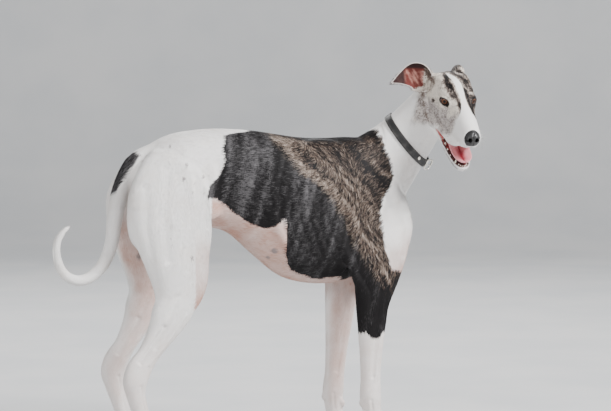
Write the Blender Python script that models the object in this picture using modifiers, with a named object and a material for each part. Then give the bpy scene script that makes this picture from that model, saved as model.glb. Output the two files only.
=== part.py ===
"""A life-size standing greyhound with its head turned to its right, mouth open, wearing a leather collar.

Metres, +X towards the dog's front, +Y to its left, +Z up, paws on Z = 0.
The body is modelled whole from lofted tubes and ellipsoid muscles, fused, and parted with thin cuts.
"""

import math

import bmesh
import bpy
import numpy as np
from mathutils import Matrix, Vector
from mathutils.bvhtree import BVHTree

BOX_CENTRE = (-0.0581, -0.0732)  # the middle of the dog's box before it is moved onto the origin
JOIN_GAP = 0.0003                # what touching pieces keep between them

# Fineness of the fused forms and of the solids made from them
BODY_VOXEL = 0.0032
BODY_EASING = 26
BODY_TRIANGLES = 4300
PAW_VOXEL = 0.0015
PAW_EASING = 8
PAW_TRIANGLES = 400
HEAD_VOXEL = 0.0015
HEAD_EASING = 22
HEAD_TRIANGLES = 2900
RING_POINTS = 40

# The trunk from the back of the pelvis to the breastbone: x, top, widest height, bottom, half width
TRUNK = [
    (-0.350, 0.640, 0.612, 0.588, 0.020),
    (-0.340, 0.657, 0.608, 0.560, 0.040),
    (-0.322, 0.677, 0.608, 0.530, 0.054),
    (-0.292, 0.698, 0.616, 0.512, 0.068),
    (-0.250, 0.713, 0.624, 0.506, 0.075),
    (-0.190, 0.720, 0.630, 0.506, 0.071),
    (-0.130, 0.720, 0.630, 0.492, 0.071),
    (-0.067, 0.715, 0.618, 0.440, 0.082),
    (-0.010, 0.706, 0.600, 0.395, 0.092),
    (0.046, 0.698, 0.578, 0.376, 0.097),
    (0.110, 0.696, 0.560, 0.371, 0.094),
    (0.165, 0.697, 0.550, 0.379, 0.084),
    (0.215, 0.690, 0.545, 0.400, 0.072),
    (0.252, 0.664, 0.540, 0.432, 0.060),
    (0.280, 0.620, 0.535, 0.462, 0.046),
    (0.300, 0.570, 0.530, 0.492, 0.022),
]

# The neck from between the shoulders to the skull: centre, half depth, half width
NECK = [
    ((0.170, 0.000, 0.562), 0.104, 0.062),
    ((0.222, -0.002, 0.612), 0.093, 0.064),
    ((0.266, -0.010, 0.656), 0.0765, 0.058),
    ((0.303, -0.022, 0.700), 0.0635, 0.0515),
    ((0.332, -0.038, 0.742), 0.0550, 0.0475),
    ((0.350, -0.058, 0.776), 0.0485, 0.0445),
    ((0.356, -0.080, 0.796), 0.0380, 0.036),
    ((0.356, -0.098, 0.804), 0.0200, 0.020),
]

# The tail, hanging from the croup and hooked at its end: centre, radius
TAIL = [
    ((-0.295, 0.000, 0.668), 0.026),
    ((-0.332, 0.000, 0.652), 0.0265),
    ((-0.358, 0.000, 0.622), 0.0240),
    ((-0.378, 0.000, 0.580), 0.0208),
    ((-0.390, 0.000, 0.532), 0.0182),
    ((-0.396, 0.000, 0.485), 0.0160),
    ((-0.413, 0.000, 0.440), 0.0147),
    ((-0.442, 0.000, 0.410), 0.0137),
    ((-0.475, 0.000, 0.401), 0.0127),
    ((-0.505, 0.000, 0.416), 0.0117),
    ((-0.521, 0.000, 0.449), 0.0106),
    ((-0.521, 0.000, 0.483), 0.0092),
    ((-0.507, 0.000, 0.507), 0.0076),
    ((-0.492, 0.000, 0.517), 0.0045),
]
TAIL_SPACE = [(-0.415, 0.606), (-0.346, 0.578), (-0.346, 0.360), (-0.620, 0.360), (-0.620, 0.606)]
TAIL_CLEAR = 0.034              # half width of the space that the tail hangs in
TAIL_CUTS = {"tail_tip": (8.6, -0.13, 0.04), "tail_middle": (5.6, -0.25, 0.25)}

# A hind leg's thigh by height: height, back, front, distance from the midline, half thickness
THIGH = [
    (0.680, -0.315, -0.235, 0.034, 0.014),
    (0.655, -0.345, -0.214, 0.046, 0.028),
    (0.620, -0.368, -0.203, 0.056, 0.037),
    (0.575, -0.385, -0.197, 0.065, 0.041),
    (0.520, -0.383, -0.199, 0.072, 0.040),
    (0.470, -0.369, -0.203, 0.078, 0.038),
    (0.425, -0.352, -0.206, 0.084, 0.035),
    (0.385, -0.338, -0.213, 0.088, 0.031),
    (0.350, -0.330, -0.230, 0.091, 0.026),
    (0.325, -0.322, -0.252, 0.092, 0.016),
]
# From the knee down to the paw: x, height, half depth, half thickness, distance from the midline
SHANK = [
    (-0.262, 0.392, 0.034, 0.026, 0.089),
    (-0.283, 0.352, 0.043, 0.029, 0.091),
    (-0.304, 0.318, 0.041, 0.026, 0.092),
    (-0.327, 0.280, 0.031, 0.0205, 0.091),
    (-0.350, 0.245, 0.0255, 0.0165, 0.090),
    (-0.370, 0.216, 0.0290, 0.0175, 0.090),
    (-0.380, 0.188, 0.0280, 0.0190, 0.091),
    (-0.378, 0.160, 0.0215, 0.0168, 0.091),
    (-0.367, 0.120, 0.0182, 0.0157, 0.092),
    (-0.355, 0.080, 0.0178, 0.0166, 0.093),
    (-0.344, 0.052, 0.0190, 0.0205, 0.093),
    (-0.330, 0.034, 0.0170, 0.0215, 0.093),
]
# A foreleg from the shoulder to the paw, in the same five measures
FORELEG = [
    (0.225, 0.560, 0.060, 0.014, 0.050),
    (0.228, 0.515, 0.060, 0.024, 0.060),
    (0.226, 0.465, 0.055, 0.030, 0.068),
    (0.210, 0.420, 0.055, 0.033, 0.071),
    (0.196, 0.372, 0.050, 0.032, 0.071),
    (0.189, 0.325, 0.0395, 0.0285, 0.070),
    (0.188, 0.275, 0.0330, 0.0250, 0.069),
    (0.187, 0.215, 0.0265, 0.0205, 0.068),
    (0.187, 0.160, 0.0235, 0.0190, 0.067),
    (0.187, 0.122, 0.0245, 0.0215, 0.067),
    (0.191, 0.092, 0.0208, 0.0200, 0.067),
    (0.199, 0.062, 0.0190, 0.0205, 0.068),
    (0.210, 0.044, 0.0190, 0.0218, 0.068),
    (0.224, 0.032, 0.0170, 0.0215, 0.068),
]
# How far each foot stands ahead of the photographed near one, and where that lean starts
LEAN = {"right": {"fore": 0.0, "hind": 0.0}, "left": {"fore": -0.040, "hind": 0.028}}
LEAN_START = {"fore": 0.44, "hind": 0.56}
SIDES = {"right": -1.0, "left": 1.0}

# Muscles and bony points of one side, by the leg they lean with:
# start, end, half width, half thickness, with y from the midline
SIDE_FORMS = {
    "fore": {
        "shoulder_blade": ((0.140, 0.026, 0.690), (0.262, 0.074, 0.520), 0.044, 0.019),
        "triceps": ((0.118, 0.060, 0.600), (0.160, 0.078, 0.395), 0.050, 0.025),
        "upper_arm": ((0.278, 0.060, 0.535), (0.196, 0.076, 0.385), 0.042, 0.028),
        "point_of_shoulder": ((0.232, 0.048, 0.590), (0.280, 0.056, 0.470), 0.034, 0.027),
        "breast": ((0.290, 0.020, 0.560), (0.240, 0.036, 0.385), 0.034, 0.026),
        "elbow": ((0.143, 0.074, 0.425), (0.156, 0.076, 0.365), 0.015, 0.014),
        "forearm_muscle": ((0.204, 0.078, 0.390), (0.194, 0.072, 0.235), 0.026, 0.018),
        "carpal_pad": ((0.166, 0.067, 0.122), (0.166, 0.067, 0.100), 0.007, 0.008),
        "dewclaw": ((0.200, 0.052, 0.110), (0.208, 0.048, 0.085), 0.007, 0.006),
        "neck_base": ((0.150, 0.022, 0.670), (0.275, 0.046, 0.600), 0.048, 0.030),
        "back_muscle": ((-0.020, 0.032, 0.668), (0.190, 0.034, 0.660), 0.026, 0.022),
    },
    "hind": {
        "loin": ((-0.215, 0.028, 0.688), (0.010, 0.032, 0.676), 0.028, 0.020),
        "hip_point": ((-0.246, 0.040, 0.694), (-0.190, 0.058, 0.644), 0.024, 0.014),
        "croup": ((-0.215, 0.030, 0.686), (-0.335, 0.032, 0.632), 0.032, 0.022),
        "buttock": ((-0.330, 0.048, 0.650), (-0.366, 0.070, 0.470), 0.036, 0.027),
        "quadriceps": ((-0.228, 0.066, 0.610), (-0.238, 0.090, 0.410), 0.036, 0.028),
        "flank_fold": ((-0.250, 0.064, 0.590), (-0.168, 0.052, 0.530), 0.030, 0.010),
        "kneecap": ((-0.236, 0.090, 0.425), (-0.238, 0.091, 0.380), 0.016, 0.016),
        "calf": ((-0.300, 0.092, 0.390), (-0.334, 0.092, 0.290), 0.024, 0.020),
        "hock_point": ((-0.372, 0.090, 0.232), (-0.402, 0.090, 0.196), 0.011, 0.012),
    },
}

# A paw: how its four toes fan out and arch, and the claws at their tips
TOE_SPREAD = 0.0118
TOE_RADIUS = 0.0092
MIDDLE_TOE_LEAD = 0.007
CLAW_LENGTH = 0.017
CLAW_RADIUS = 0.0028

# The head: where the point midway between the pupils is, how far it is turned to the right, and its nod
EYES_AT = Vector((0.353, -0.162, 0.778))
HEAD_TURN = math.radians(99)
HEAD_NOD = math.radians(19)
# The skull and upper jaw along the head: forward of the eyes, top, widest height, bottom, half width
SKULL = [
    (-0.118, 0.012, -0.010, -0.030, 0.016),
    (-0.106, 0.027, -0.008, -0.050, 0.034),
    (-0.088, 0.037, -0.008, -0.066, 0.0450),
    (-0.062, 0.042, -0.010, -0.076, 0.0495),
    (-0.036, 0.040, -0.016, -0.079, 0.0490),
    (-0.012, 0.031, -0.024, -0.078, 0.0440),
    (0.008, 0.019, -0.032, -0.077, 0.0390),
    (0.030, 0.008, -0.040, -0.0765, 0.0345),
    (0.058, -0.002, -0.044, -0.0745, 0.0302),
    (0.086, -0.013, -0.046, -0.0700, 0.0262),
    (0.106, -0.021, -0.047, -0.0660, 0.0225),
    (0.117, -0.027, -0.048, -0.0630, 0.0170),
    (0.123, -0.036, -0.049, -0.0580, 0.0090),
]
# The lower jaw with its lips before it drops, in the same measures
JAW = [
    (-0.054, -0.040, -0.060, -0.086, 0.036),
    (-0.030, -0.050, -0.062, -0.088, 0.0375),
    (0.000, -0.056, -0.063, -0.086, 0.0360),
    (0.030, -0.057, -0.063, -0.083, 0.0330),
    (0.060, -0.057, -0.063, -0.080, 0.0285),
    (0.085, -0.057, -0.063, -0.077, 0.0230),
    (0.100, -0.058, -0.064, -0.075, 0.0175),
    (0.109, -0.061, -0.066, -0.072, 0.0090),
]
JAW_HINGE = Vector((-0.050, 0.0, -0.034))
JAW_DROP = math.radians(25)
# The rest of one side of the head: start, end, half width, half thickness; forward, left, up
HEAD_FORMS = {
    "temple": ((-0.104, 0.025, 0.014), (-0.020, 0.025, 0.019), 0.021, 0.0180),
    "ear_base": ((-0.112, 0.028, 0.000), (-0.064, 0.034, 0.026), 0.018, 0.0160),
    "brow": ((-0.050, 0.036, 0.017), (0.018, 0.020, 0.004), 0.013, 0.0110),
    "cheekbone": ((-0.080, 0.048, -0.008), (0.014, 0.033, -0.016), 0.013, 0.0090),
    "cheek": ((-0.086, 0.030, 0.004), (-0.034, 0.032, -0.082), 0.028, 0.0165),
    "lip": ((-0.026, 0.030, -0.072), (0.088, 0.020, -0.068), 0.0165, 0.0080),
    "front_lip": ((0.050, 0.020, -0.064), (0.119, 0.007, -0.060), 0.0115, 0.0080),
    "whisker_pad": ((0.048, 0.018, -0.050), (0.114, 0.010, -0.054), 0.0130, 0.0115),
}
THROAT = ((-0.080, 0.0, -0.044), (-0.024, 0.0, -0.104), 0.032, 0.030)
NOSE = ((0.104, 0.0, -0.0430), (0.1275, 0.0, -0.0430), 0.0162, 0.0185)
NOSTRIL = ((0.133, 0.0072, -0.0430), (0.1130, 0.0080, -0.0445), 0.0042, 0.0036)
NOSTRIL_SLIT = ((0.126, 0.0098, -0.0485), (0.1050, 0.0198, -0.0465), 0.0022, 0.0020)
PALATE = ((-0.020, 0.0, -0.074), (0.103, 0.0, -0.0660), 0.0105, 0.0185)
MOUTH = ((-0.054, 0.0, -0.078), (0.070, 0.0, -0.100), 0.0130, 0.0270)

EYE_CENTRE = Vector((-0.0060, 0.0285, 0.0))
EYE_RADIUS = 0.0120
LID_RADIUS = 0.0149
EYE_TURN = math.radians(28)
LID_TILT = math.radians(16)
LID_OPENING = (0.0218, 0.0140)   # across and up

# Ears: points along the middle, half height of the shell, how far its arc spreads, where its hollow faces
RIGHT_EAR = {
    "path": [(-0.080, -0.035, 0.005), (-0.088, -0.052, 0.013), (-0.094, -0.074, 0.021),
             (-0.099, -0.100, 0.015), (-0.100, -0.126, 0.004)],
    "reach": [0.017, 0.027, 0.033, 0.022, 0.004],
    "spread": [140, 112, 84, 55, 35],
    "opens": (1.0, -0.15, 0.0),
    "thin": (0.60, 0.60, 0.52, 0.35, 0.30),
}
LEFT_EAR = {
    "path": [(-0.080, 0.018, 0.008), (-0.094, 0.024, 0.018), (-0.114, 0.028, 0.020),
             (-0.138, 0.033, 0.008), (-0.160, 0.039, -0.012)],
    "reach": [0.016, 0.019, 0.020, 0.017, 0.004],
    "spread": [150, 130, 110, 80, 40],
    "opens": (-0.05, 1.0, -0.45),
    "thin": (0.7, 0.7, 0.6, 0.5, 0.4),
}
EAR_THICKNESS = 0.0030
EAR_POINTS = 11

# The tongue, lying cupped in the lower jaw before it drops: forward, up, half width, depth, hollow
TONGUE = [
    (-0.028, -0.058, 0.015, 0.0070, 0.000),
    (0.000, -0.054, 0.0190, 0.0080, 0.002),
    (0.030, -0.052, 0.0215, 0.0085, 0.004),
    (0.060, -0.050, 0.0225, 0.0090, 0.008),
    (0.080, -0.047, 0.0215, 0.0090, 0.011),
    (0.094, -0.044, 0.0180, 0.0085, 0.009),
    (0.104, -0.042, 0.0115, 0.0060, 0.004),
    (0.109, -0.041, 0.0045, 0.0030, 0.000),
]

# Teeth of one side: forward, left, length, radius
UPPER_TEETH = [
    (0.1085, 0.0026, 0.0055, 0.0020), (0.1070, 0.0066, 0.0060, 0.0021), (0.1040, 0.0104, 0.0070, 0.0023),
    (0.0940, 0.0145, 0.0130, 0.0032), (0.0790, 0.0165, 0.0050, 0.0026), (0.0630, 0.0185, 0.0060, 0.0032),
    (0.0460, 0.0205, 0.0070, 0.0038), (0.0250, 0.0220, 0.0085, 0.0050), (0.0070, 0.0230, 0.0060, 0.0040),
]
LOWER_TEETH = [
    (0.1035, 0.0022, 0.0050, 0.0017), (0.1020, 0.0056, 0.0055, 0.0018), (0.0990, 0.0088, 0.0060, 0.0020),
    (0.0915, 0.0150, 0.0110, 0.0028), (0.0700, 0.0215, 0.0045, 0.0022), (0.0530, 0.0235, 0.0050, 0.0028),
    (0.0350, 0.0250, 0.0060, 0.0034), (0.0150, 0.0260, 0.0055, 0.0044),
]
UPPER_GUM = -0.0585
LOWER_GUM = -0.0600
TOOTH_SIDES = 6

# The collar: where it sits on the neck's path, and its leather and metal
COLLAR_STATION = 2.78
COLLAR_WIDTH = 0.016
COLLAR_OUTER = 0.0040           # how far its face stands off the neck's own surface
COLLAR_SUNK = 0.0012            # how far it presses into the neck
COLLAR_STEPS = 40
COLLAR_TILT = math.radians(8)  # how far it hangs down at the throat
COLLAR_TWIST = math.radians(-14)  # how far it hangs back on the side that the head is turned to
BUCKLE_ANGLE = math.radians(-72)  # round the neck from its right side, down towards the throat
BUCKLE_SIZE = (0.0205, 0.0235)  # along the strap and across it
BUCKLE_LEAN = math.radians(-24)   # how far its far side stands off the strap
BUCKLE_WIRE = 0.0019
RIVET_ANGLE = math.radians(-38)
RIVET_RADIUS = 0.0042

# Where the thin cuts go
ELBOW_CUT = ((0.110, 0.385), (0.275, 0.338))
STIFLE_CUT = ((-0.350, 0.402), (-0.200, 0.345))
PAW_CUT = 0.066
NECK_CUT = ((0.190, 0.730), (0.352, 0.538))
THIGH_CUT = ((0.004, 0.455), (0.030, 0.505), (0.125, 0.712))
THIGH_FRONT = -0.190
HEAD_CUT = (Vector((0.338, -0.045, 0.748)), Vector((0.25, -0.72, 0.65)).normalized())
FAR = 1.0                       # how far a half space reaches
UNDER_FLOOR = -0.05
# In the head's own forward and up
NOSE_CUT = [(0.1095, -0.015), (0.150, -0.015), (0.150, -0.0600), (0.1150, -0.0600)]
MOUTH_SLIT = [(-0.028, -0.0775), (0.0, -0.0785), (0.030, -0.0790), (0.030, -0.0940), (0.0, -0.0835)]
JAW_CUT = [(-0.027, -0.0788), (0.020, -0.0830), (0.060, -0.0880), (0.160, -0.0880),
           (0.160, -0.180), (-0.075, -0.180), (-0.050, -0.120)]
MOUTH_REACH = 0.070             # how far these cuts reach to either side

MATERIALS = {
    "coat_white": ((0.86, 0.83, 0.80), 0.75, 0.0),
    "coat_brindle": ((0.16, 0.14, 0.13), 0.75, 0.0),
    "coat_ticked": ((0.55, 0.50, 0.47), 0.75, 0.0),
    "eye": ((0.10, 0.045, 0.02), 0.1, 0.0),
    "nose_leather": ((0.02, 0.02, 0.022), 0.35, 0.0),
    "tongue": ((0.75, 0.30, 0.33), 0.4, 0.0),
    "collar_leather": ((0.03, 0.03, 0.032), 0.5, 0.0),
    "collar_metal": ((0.75, 0.73, 0.68), 0.25, 1.0),
}


def clear_scene():
    for obj in list(bpy.data.objects):
        bpy.data.objects.remove(obj)


def material(name):
    found = bpy.data.materials.get(name)
    if found:
        return found
    colour, roughness, metallic = MATERIALS[name]
    made = bpy.data.materials.new(name)
    made.use_nodes = True
    shader = made.node_tree.nodes["Principled BSDF"]
    shader.inputs["Base Color"].default_value = (*colour, 1.0)
    shader.inputs["Roughness"].default_value = roughness
    shader.inputs["Metallic"].default_value = metallic
    return made


def new_object(name, mesh, collection=None):
    obj = bpy.data.objects.new(name, mesh)
    (collection or bpy.context.scene.collection).objects.link(obj)
    return obj


def add_node(name, mesh, material_name):
    """A finished piece in the greyhound's collection, moved so that the whole dog is centred."""
    mesh.materials.clear()
    mesh.materials.append(material(material_name))
    mesh.transform(Matrix.Translation((-BOX_CENTRE[0], -BOX_CENTRE[1], 0)))
    mesh.name = name
    return new_object(name, mesh, bpy.data.collections["greyhound"])


def evaluated(obj):
    """The object's mesh as its modifiers make it; the object itself is removed."""
    graph = bpy.context.evaluated_depsgraph_get()
    mesh = bpy.data.meshes.new_from_object(obj.evaluated_get(graph))
    bpy.data.objects.remove(obj)
    return mesh


def edited(mesh, change):
    """The mesh after a function has worked on it as a bmesh."""
    work = bmesh.new()
    work.from_mesh(mesh)
    change(work)
    work.to_mesh(mesh)
    work.free()
    return mesh


def facing_out(mesh):
    return edited(mesh, lambda work: bmesh.ops.recalc_face_normals(work, faces=work.faces))


def largest_surface(mesh):
    """The mesh in triangles, with only its largest connected surface kept."""

    def keep(work):
        bmesh.ops.remove_doubles(work, verts=work.verts, dist=1e-6)
        bmesh.ops.dissolve_degenerate(work, dist=1e-6, edges=work.edges)
        bmesh.ops.triangulate(work, faces=work.faces)
        waiting = set(work.faces)
        groups = []
        while waiting:
            group = [waiting.pop()]
            for face in group:
                for edge in face.edges:
                    for other in edge.link_faces:
                        if other in waiting:
                            waiting.remove(other)
                            group.append(other)
            groups.append(group)
        groups.sort(key=lambda faces: sum(face.calc_area() for face in faces))
        loose = [face for group in groups[:-1] for face in group]
        bmesh.ops.delete(work, geom=loose, context="FACES")

    return edited(mesh, keep)


def flat_rows(stations):
    """Stations with nested centres as plain rows of numbers."""
    return np.array([np.hstack([np.ravel(part) for part in row]) for row in stations])


def row_at(stations, station):
    """The row at a fractional station, on a Catmull-Rom curve through the stations."""
    rows = flat_rows(stations)
    padded = np.vstack([2 * rows[0] - rows[1], rows, 2 * rows[-1] - rows[-2]])
    i = min(int(station), len(rows) - 2)
    t = station - i
    a, b, c, d = padded[i : i + 4]
    return 0.5 * (2 * b + (c - a) * t + (2 * a - 5 * b + 4 * c - d) * t**2 + (3 * b - a - 3 * c + d) * t**3)


def smooth_rows(stations, steps=4):
    """Rows eased through the stations, with this many steps between two of them."""
    return np.array([row_at(stations, k / steps) for k in range((len(stations) - 1) * steps + 1)])


def loft(rings):
    """One closed mesh through rings of points, with a fan at each end."""
    count = len(rings[0])
    points = [p for ring in rings for p in ring]
    faces = []
    for r in range(len(rings) - 1):
        for i in range(count):
            j = (i + 1) % count
            faces.append((r * count + i, r * count + j, (r + 1) * count + j, (r + 1) * count + i))
    for ring, turn in ((0, -1), (len(rings) - 1, 1)):
        points.append(sum((Vector(p) for p in rings[ring]), Vector()) / count)
        hub = len(points) - 1
        loop = [ring * count + i for i in range(count)][::turn]
        faces += [(loop[i], loop[(i + 1) % count], hub) for i in range(count)]
    mesh = bpy.data.meshes.new("loft")
    mesh.from_pydata([tuple(p) for p in points], [], faces)
    return facing_out(mesh)


def egg_ring(centre, side, up, half_width, above, below, count=RING_POINTS):
    """A ring that reaches further above its centre than below it, or the other way round."""
    ring = []
    for k in range(count):
        angle = 2 * math.pi * k / count
        reach = above if math.sin(angle) > 0 else below
        ring.append(Vector(centre) + side * (half_width * math.cos(angle)) + up * (reach * math.sin(angle)))
    return ring


def long_mesh(stations):
    """A closed form along X from stations of x, top, widest height, bottom and half width."""
    side, up = Vector((0, 1, 0)), Vector((0, 0, 1))
    return loft([
        egg_ring((x, 0, middle), side, up, half, top - middle, middle - bottom)
        for x, top, middle, bottom, half in smooth_rows(stations)
    ])


def ring_frame(rows, i, level=Vector((0, 1, 0))):
    """The direction ahead, to the side and up at one of a path's rows."""
    ahead = Vector(rows[min(i + 1, len(rows) - 1)][:3]) - Vector(rows[max(i - 1, 0)][:3])
    ahead.normalize()
    side = (level - ahead * level.dot(ahead)).normalized()
    return ahead, side, ahead.cross(side)


def tube_mesh(stations):
    """A tube whose rings stand square to its path: centre x, y, z, half depth, half width."""
    rows = smooth_rows(stations)
    rings = []
    for i, row in enumerate(rows):
        ahead, side, up = ring_frame(rows, i)
        rings.append(egg_ring(row[:3], side, up, row[-1], row[3], row[3]))
    return loft(rings)


def leaned(x, z, lean, lean_start):
    return x + lean * max(0.0, 1 - z / lean_start)


def leg_path(stations, side, lean, lean_start):
    """The leg's stations as centres, half depths and half widths, leaning from its upper end down."""
    return [
        ((leaned(x, z, lean, lean_start), side * out, z), depth, thick) for x, z, depth, thick, out in stations
    ]


def thigh_mesh(side, lean, lean_start):
    rings = []
    for z, back, front, out, thick in smooth_rows(THIGH):
        centre = (leaned((back + front) / 2, z, lean, lean_start), side * out, z)
        half = (front - back) / 2
        rings.append(egg_ring(centre, Vector((0, 1, 0)), Vector((1, 0, 0)), thick, half, half))
    return loft(rings)


def ellipsoid_mesh(start, end, half_width, half_thick, flat=Vector((0, 1, 0)), segments=20):
    """An ellipsoid from start to end, thin along the direction that flat gives."""
    start, end = Vector(start), Vector(end)
    along = (end - start).normalized()
    thin = (flat - along * flat.dot(along)).normalized()
    frame = Matrix((thin.cross(along), thin, along)).transposed().to_4x4()
    sizes = Matrix.Diagonal((half_width, half_thick, (end - start).length / 2, 1.0))
    mesh = bpy.data.meshes.new("form")
    place = Matrix.Translation((start + end) / 2) @ frame @ sizes
    return edited(mesh, lambda work: bmesh.ops.create_uvsphere(
        work, u_segments=segments, v_segments=segments // 2 + 2, radius=1.0, matrix=place))


def cone_mesh(root, tip, radius, sides, tip_share=0.12):
    """A short cone from root to tip, its point blunted to a share of its radius."""
    root, tip = Vector(root), Vector(tip)
    turn = (tip - root).to_track_quat("Z", "Y").to_matrix().to_4x4()
    mesh = bpy.data.meshes.new("cone")
    return edited(mesh, lambda work: bmesh.ops.create_cone(
        work, cap_ends=True, segments=sides, radius1=radius, radius2=radius * tip_share,
        depth=(tip - root).length, matrix=Matrix.Translation((root + tip) / 2) @ turn))


def mirrored(point, side):
    return Vector(point) * Vector((1, side, 1))


def paw_forms(root):
    """Four arched toes with their pads, the web between them and the large pad behind."""
    made = []
    root = Vector(root)
    for toe in range(4):
        spread = (toe - 1.5) * TOE_SPREAD
        lead = MIDDLE_TOE_LEAD if toe in (1, 2) else 0.0
        heel = root + Vector((-0.014, spread * 0.75, 0.004))
        knuckle = root + Vector((0.026 + lead, spread * 1.05, 0.006))
        tip = root + Vector((0.052 + lead, spread * 1.20, -0.017))
        made.append(ellipsoid_mesh(heel, knuckle + Vector((0.012, 0, -0.003)), TOE_RADIUS * 1.1, TOE_RADIUS * 0.86))
        made.append(ellipsoid_mesh(knuckle + Vector((-0.014, 0, 0.005)), tip + Vector((0.003, 0, 0.002)),
                                   TOE_RADIUS * 1.12, TOE_RADIUS * 0.86))
        made.append(ellipsoid_mesh(tip + Vector((-0.026, 0, -0.005)), tip + Vector((0.003, 0, -0.004)),
                                   TOE_RADIUS * 1.05, TOE_RADIUS * 0.82))
    made.append(ellipsoid_mesh(root + Vector((-0.018, 0, -0.010)), root + Vector((0.038, 0, -0.010)), 0.013, 0.0185))
    heel = Vector((root.x, root.y, 0.0105))
    made.append(ellipsoid_mesh(heel + Vector((-0.014, 0, 0)), heel + Vector((0.026, 0, 0)), 0.0125, 0.0175))
    return made


def claws(root):
    made = []
    for toe in range(4):
        spread = (toe - 1.5) * TOE_SPREAD * 1.20
        lead = MIDDLE_TOE_LEAD if toe in (1, 2) else 0.0
        start = Vector(root) + Vector((0.045 + lead, spread, -0.0145))
        made.append(cone_mesh(start, start + Vector((CLAW_LENGTH * 0.88, 0, -CLAW_LENGTH * 0.48)), CLAW_RADIUS, 7))
    return made


def paw_root(stations, side, lean, lean_start):
    """Where a leg's toes start, over the paw's large pad."""
    x, _, _, _, out = stations[-2]
    return Vector((leaned(x, 0.03, lean, lean_start), side * out, 0.030))


def legs():
    """Each leg's name, side, stations and lean."""
    for side_name, side in SIDES.items():
        for end, stations in (("fore", FORELEG), ("hind", SHANK)):
            yield side_name, end, side, stations, LEAN[side_name][end], LEAN_START[end]


def body_meshes():
    meshes = [long_mesh(TRUNK), tube_mesh(NECK), tube_mesh([(c, r, r) for c, r in TAIL])]
    for _, end, side, stations, lean, start in legs():
        meshes.append(tube_mesh(leg_path(stations, side, lean, start)))
        if end == "hind":
            meshes.append(thigh_mesh(side, lean, start))
        for top, bottom, wide, thick in SIDE_FORMS[end].values():
            ends = [mirrored((leaned(x, z, lean, start), y, z), side) for x, y, z in (top, bottom)]
            meshes.append(ellipsoid_mesh(*ends, wide, thick))
    return meshes + skull_meshes()


def head_frame():
    """The matrix from the head's own forward, left and up to the dog's frame."""
    turn = Matrix.Rotation(-HEAD_TURN, 4, "Z")
    nod = Matrix.Rotation(HEAD_NOD, 4, "Y")
    return Matrix.Translation(EYES_AT) @ turn @ nod


def jaw_frame():
    """The matrix from the lower jaw before it drops to the dog's frame."""
    drop = Matrix.Rotation(JAW_DROP, 4, "Y")
    return head_frame() @ Matrix.Translation(JAW_HINGE) @ drop @ Matrix.Translation(-JAW_HINGE)


def placed(mesh, frame):
    mesh.transform(frame)
    return mesh


def eye_frame(side):
    """The matrix whose X is where an eye looks, with its origin at the eye's centre."""
    place = Matrix.Translation(mirrored(EYE_CENTRE, side)) @ Matrix.Rotation(side * EYE_TURN, 4, "Z")
    return head_frame() @ place


def skull_meshes():
    """The head's own forms: skull, upper and lower jaw, cheeks, brows, lips, nose and the lids' bulge."""
    level = Vector((0, 1, 0))
    made = [long_mesh(SKULL), ellipsoid_mesh(*THROAT), ellipsoid_mesh(*NOSE)]
    for side in SIDES.values():
        for start, end, wide, thick in HEAD_FORMS.values():
            made.append(ellipsoid_mesh(mirrored(start, side), mirrored(end, side), wide, thick, level))
    made = [placed(mesh, head_frame()) for mesh in made]
    made.append(placed(long_mesh(JAW), jaw_frame()))
    for side in SIDES.values():
        reach = Vector((0, 0, LID_RADIUS))
        made.append(placed(ellipsoid_mesh(-reach, reach, LID_RADIUS, LID_RADIUS), eye_frame(side)))
    return made


def eased(mesh, rounds, softness):
    """The mesh with each point drawn towards the middle of its neighbours, by its own softness."""
    count = len(mesh.vertices)
    points = np.empty(count * 3)
    mesh.vertices.foreach_get("co", points)
    points = points.reshape(-1, 3)
    ends = np.empty(len(mesh.edges) * 2, dtype=np.int64)
    mesh.edges.foreach_get("vertices", ends)
    first, second = ends.reshape(-1, 2).T
    degree = np.bincount(ends, minlength=count)[:, None]
    pull = softness(points)[:, None]
    for _ in range(rounds):
        near = np.stack([
            np.bincount(first, points[second, k], count) + np.bincount(second, points[first, k], count)
            for k in range(3)
        ], axis=1)
        points += pull * (near / degree - points)
    mesh.vertices.foreach_set("co", points.ravel())
    mesh.update()
    return mesh


def fuse(meshes, voxel, rounds, softness, triangles):
    """One closed mesh from overlapping ones: remeshed, eased and thinned to about this many triangles."""
    joined = bpy.data.meshes.new("joined")
    edited(joined, lambda work: [work.from_mesh(mesh) for mesh in meshes])
    obj = new_object("fusing", joined)
    remesh = obj.modifiers.new("Remesh", "REMESH")
    remesh.mode = "VOXEL"
    remesh.voxel_size = voxel
    whole = eased(evaluated(obj), rounds, softness)
    obj = new_object("thinning", whole)
    thin = obj.modifiers.new("Decimate", "DECIMATE")
    thin.ratio = min(1.0, triangles / (2 * len(whole.polygons)))
    return largest_surface(evaluated(obj))


def body_softness(points):
    """Full easing on the trunk and upper legs, little on the thin legs, the tail and the head."""
    x, y, z = points.T
    soft = np.clip((z - 0.22) / 0.20, 0.12, 1.0)
    tail = (x < -0.355) & (np.abs(y) < TAIL_CLEAR)
    soft[tail] = 0.15
    soft[z > 0.72] = 0.35
    return 0.5 * soft


def even_softness(points):
    return np.full(len(points), 0.5)


def boolean(mesh, others, operation):
    """The mesh joined with, cut by or kept inside other closed meshes."""
    collection = bpy.data.collections.new("cutters")
    bpy.context.scene.collection.children.link(collection)
    cutters = [new_object("cutter", other.copy(), collection) for other in others]
    obj = new_object("cutting", mesh)
    cut = obj.modifiers.new("Boolean", "BOOLEAN")
    cut.operation = operation
    if len(cutters) == 1:
        cut.object = cutters[0]
    else:
        cut.operand_type = "COLLECTION"
        cut.collection = collection
    made = evaluated(obj)
    for cutter in cutters:
        bpy.data.objects.remove(cutter)
    bpy.data.collections.remove(collection)
    return largest_surface(made)


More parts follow.
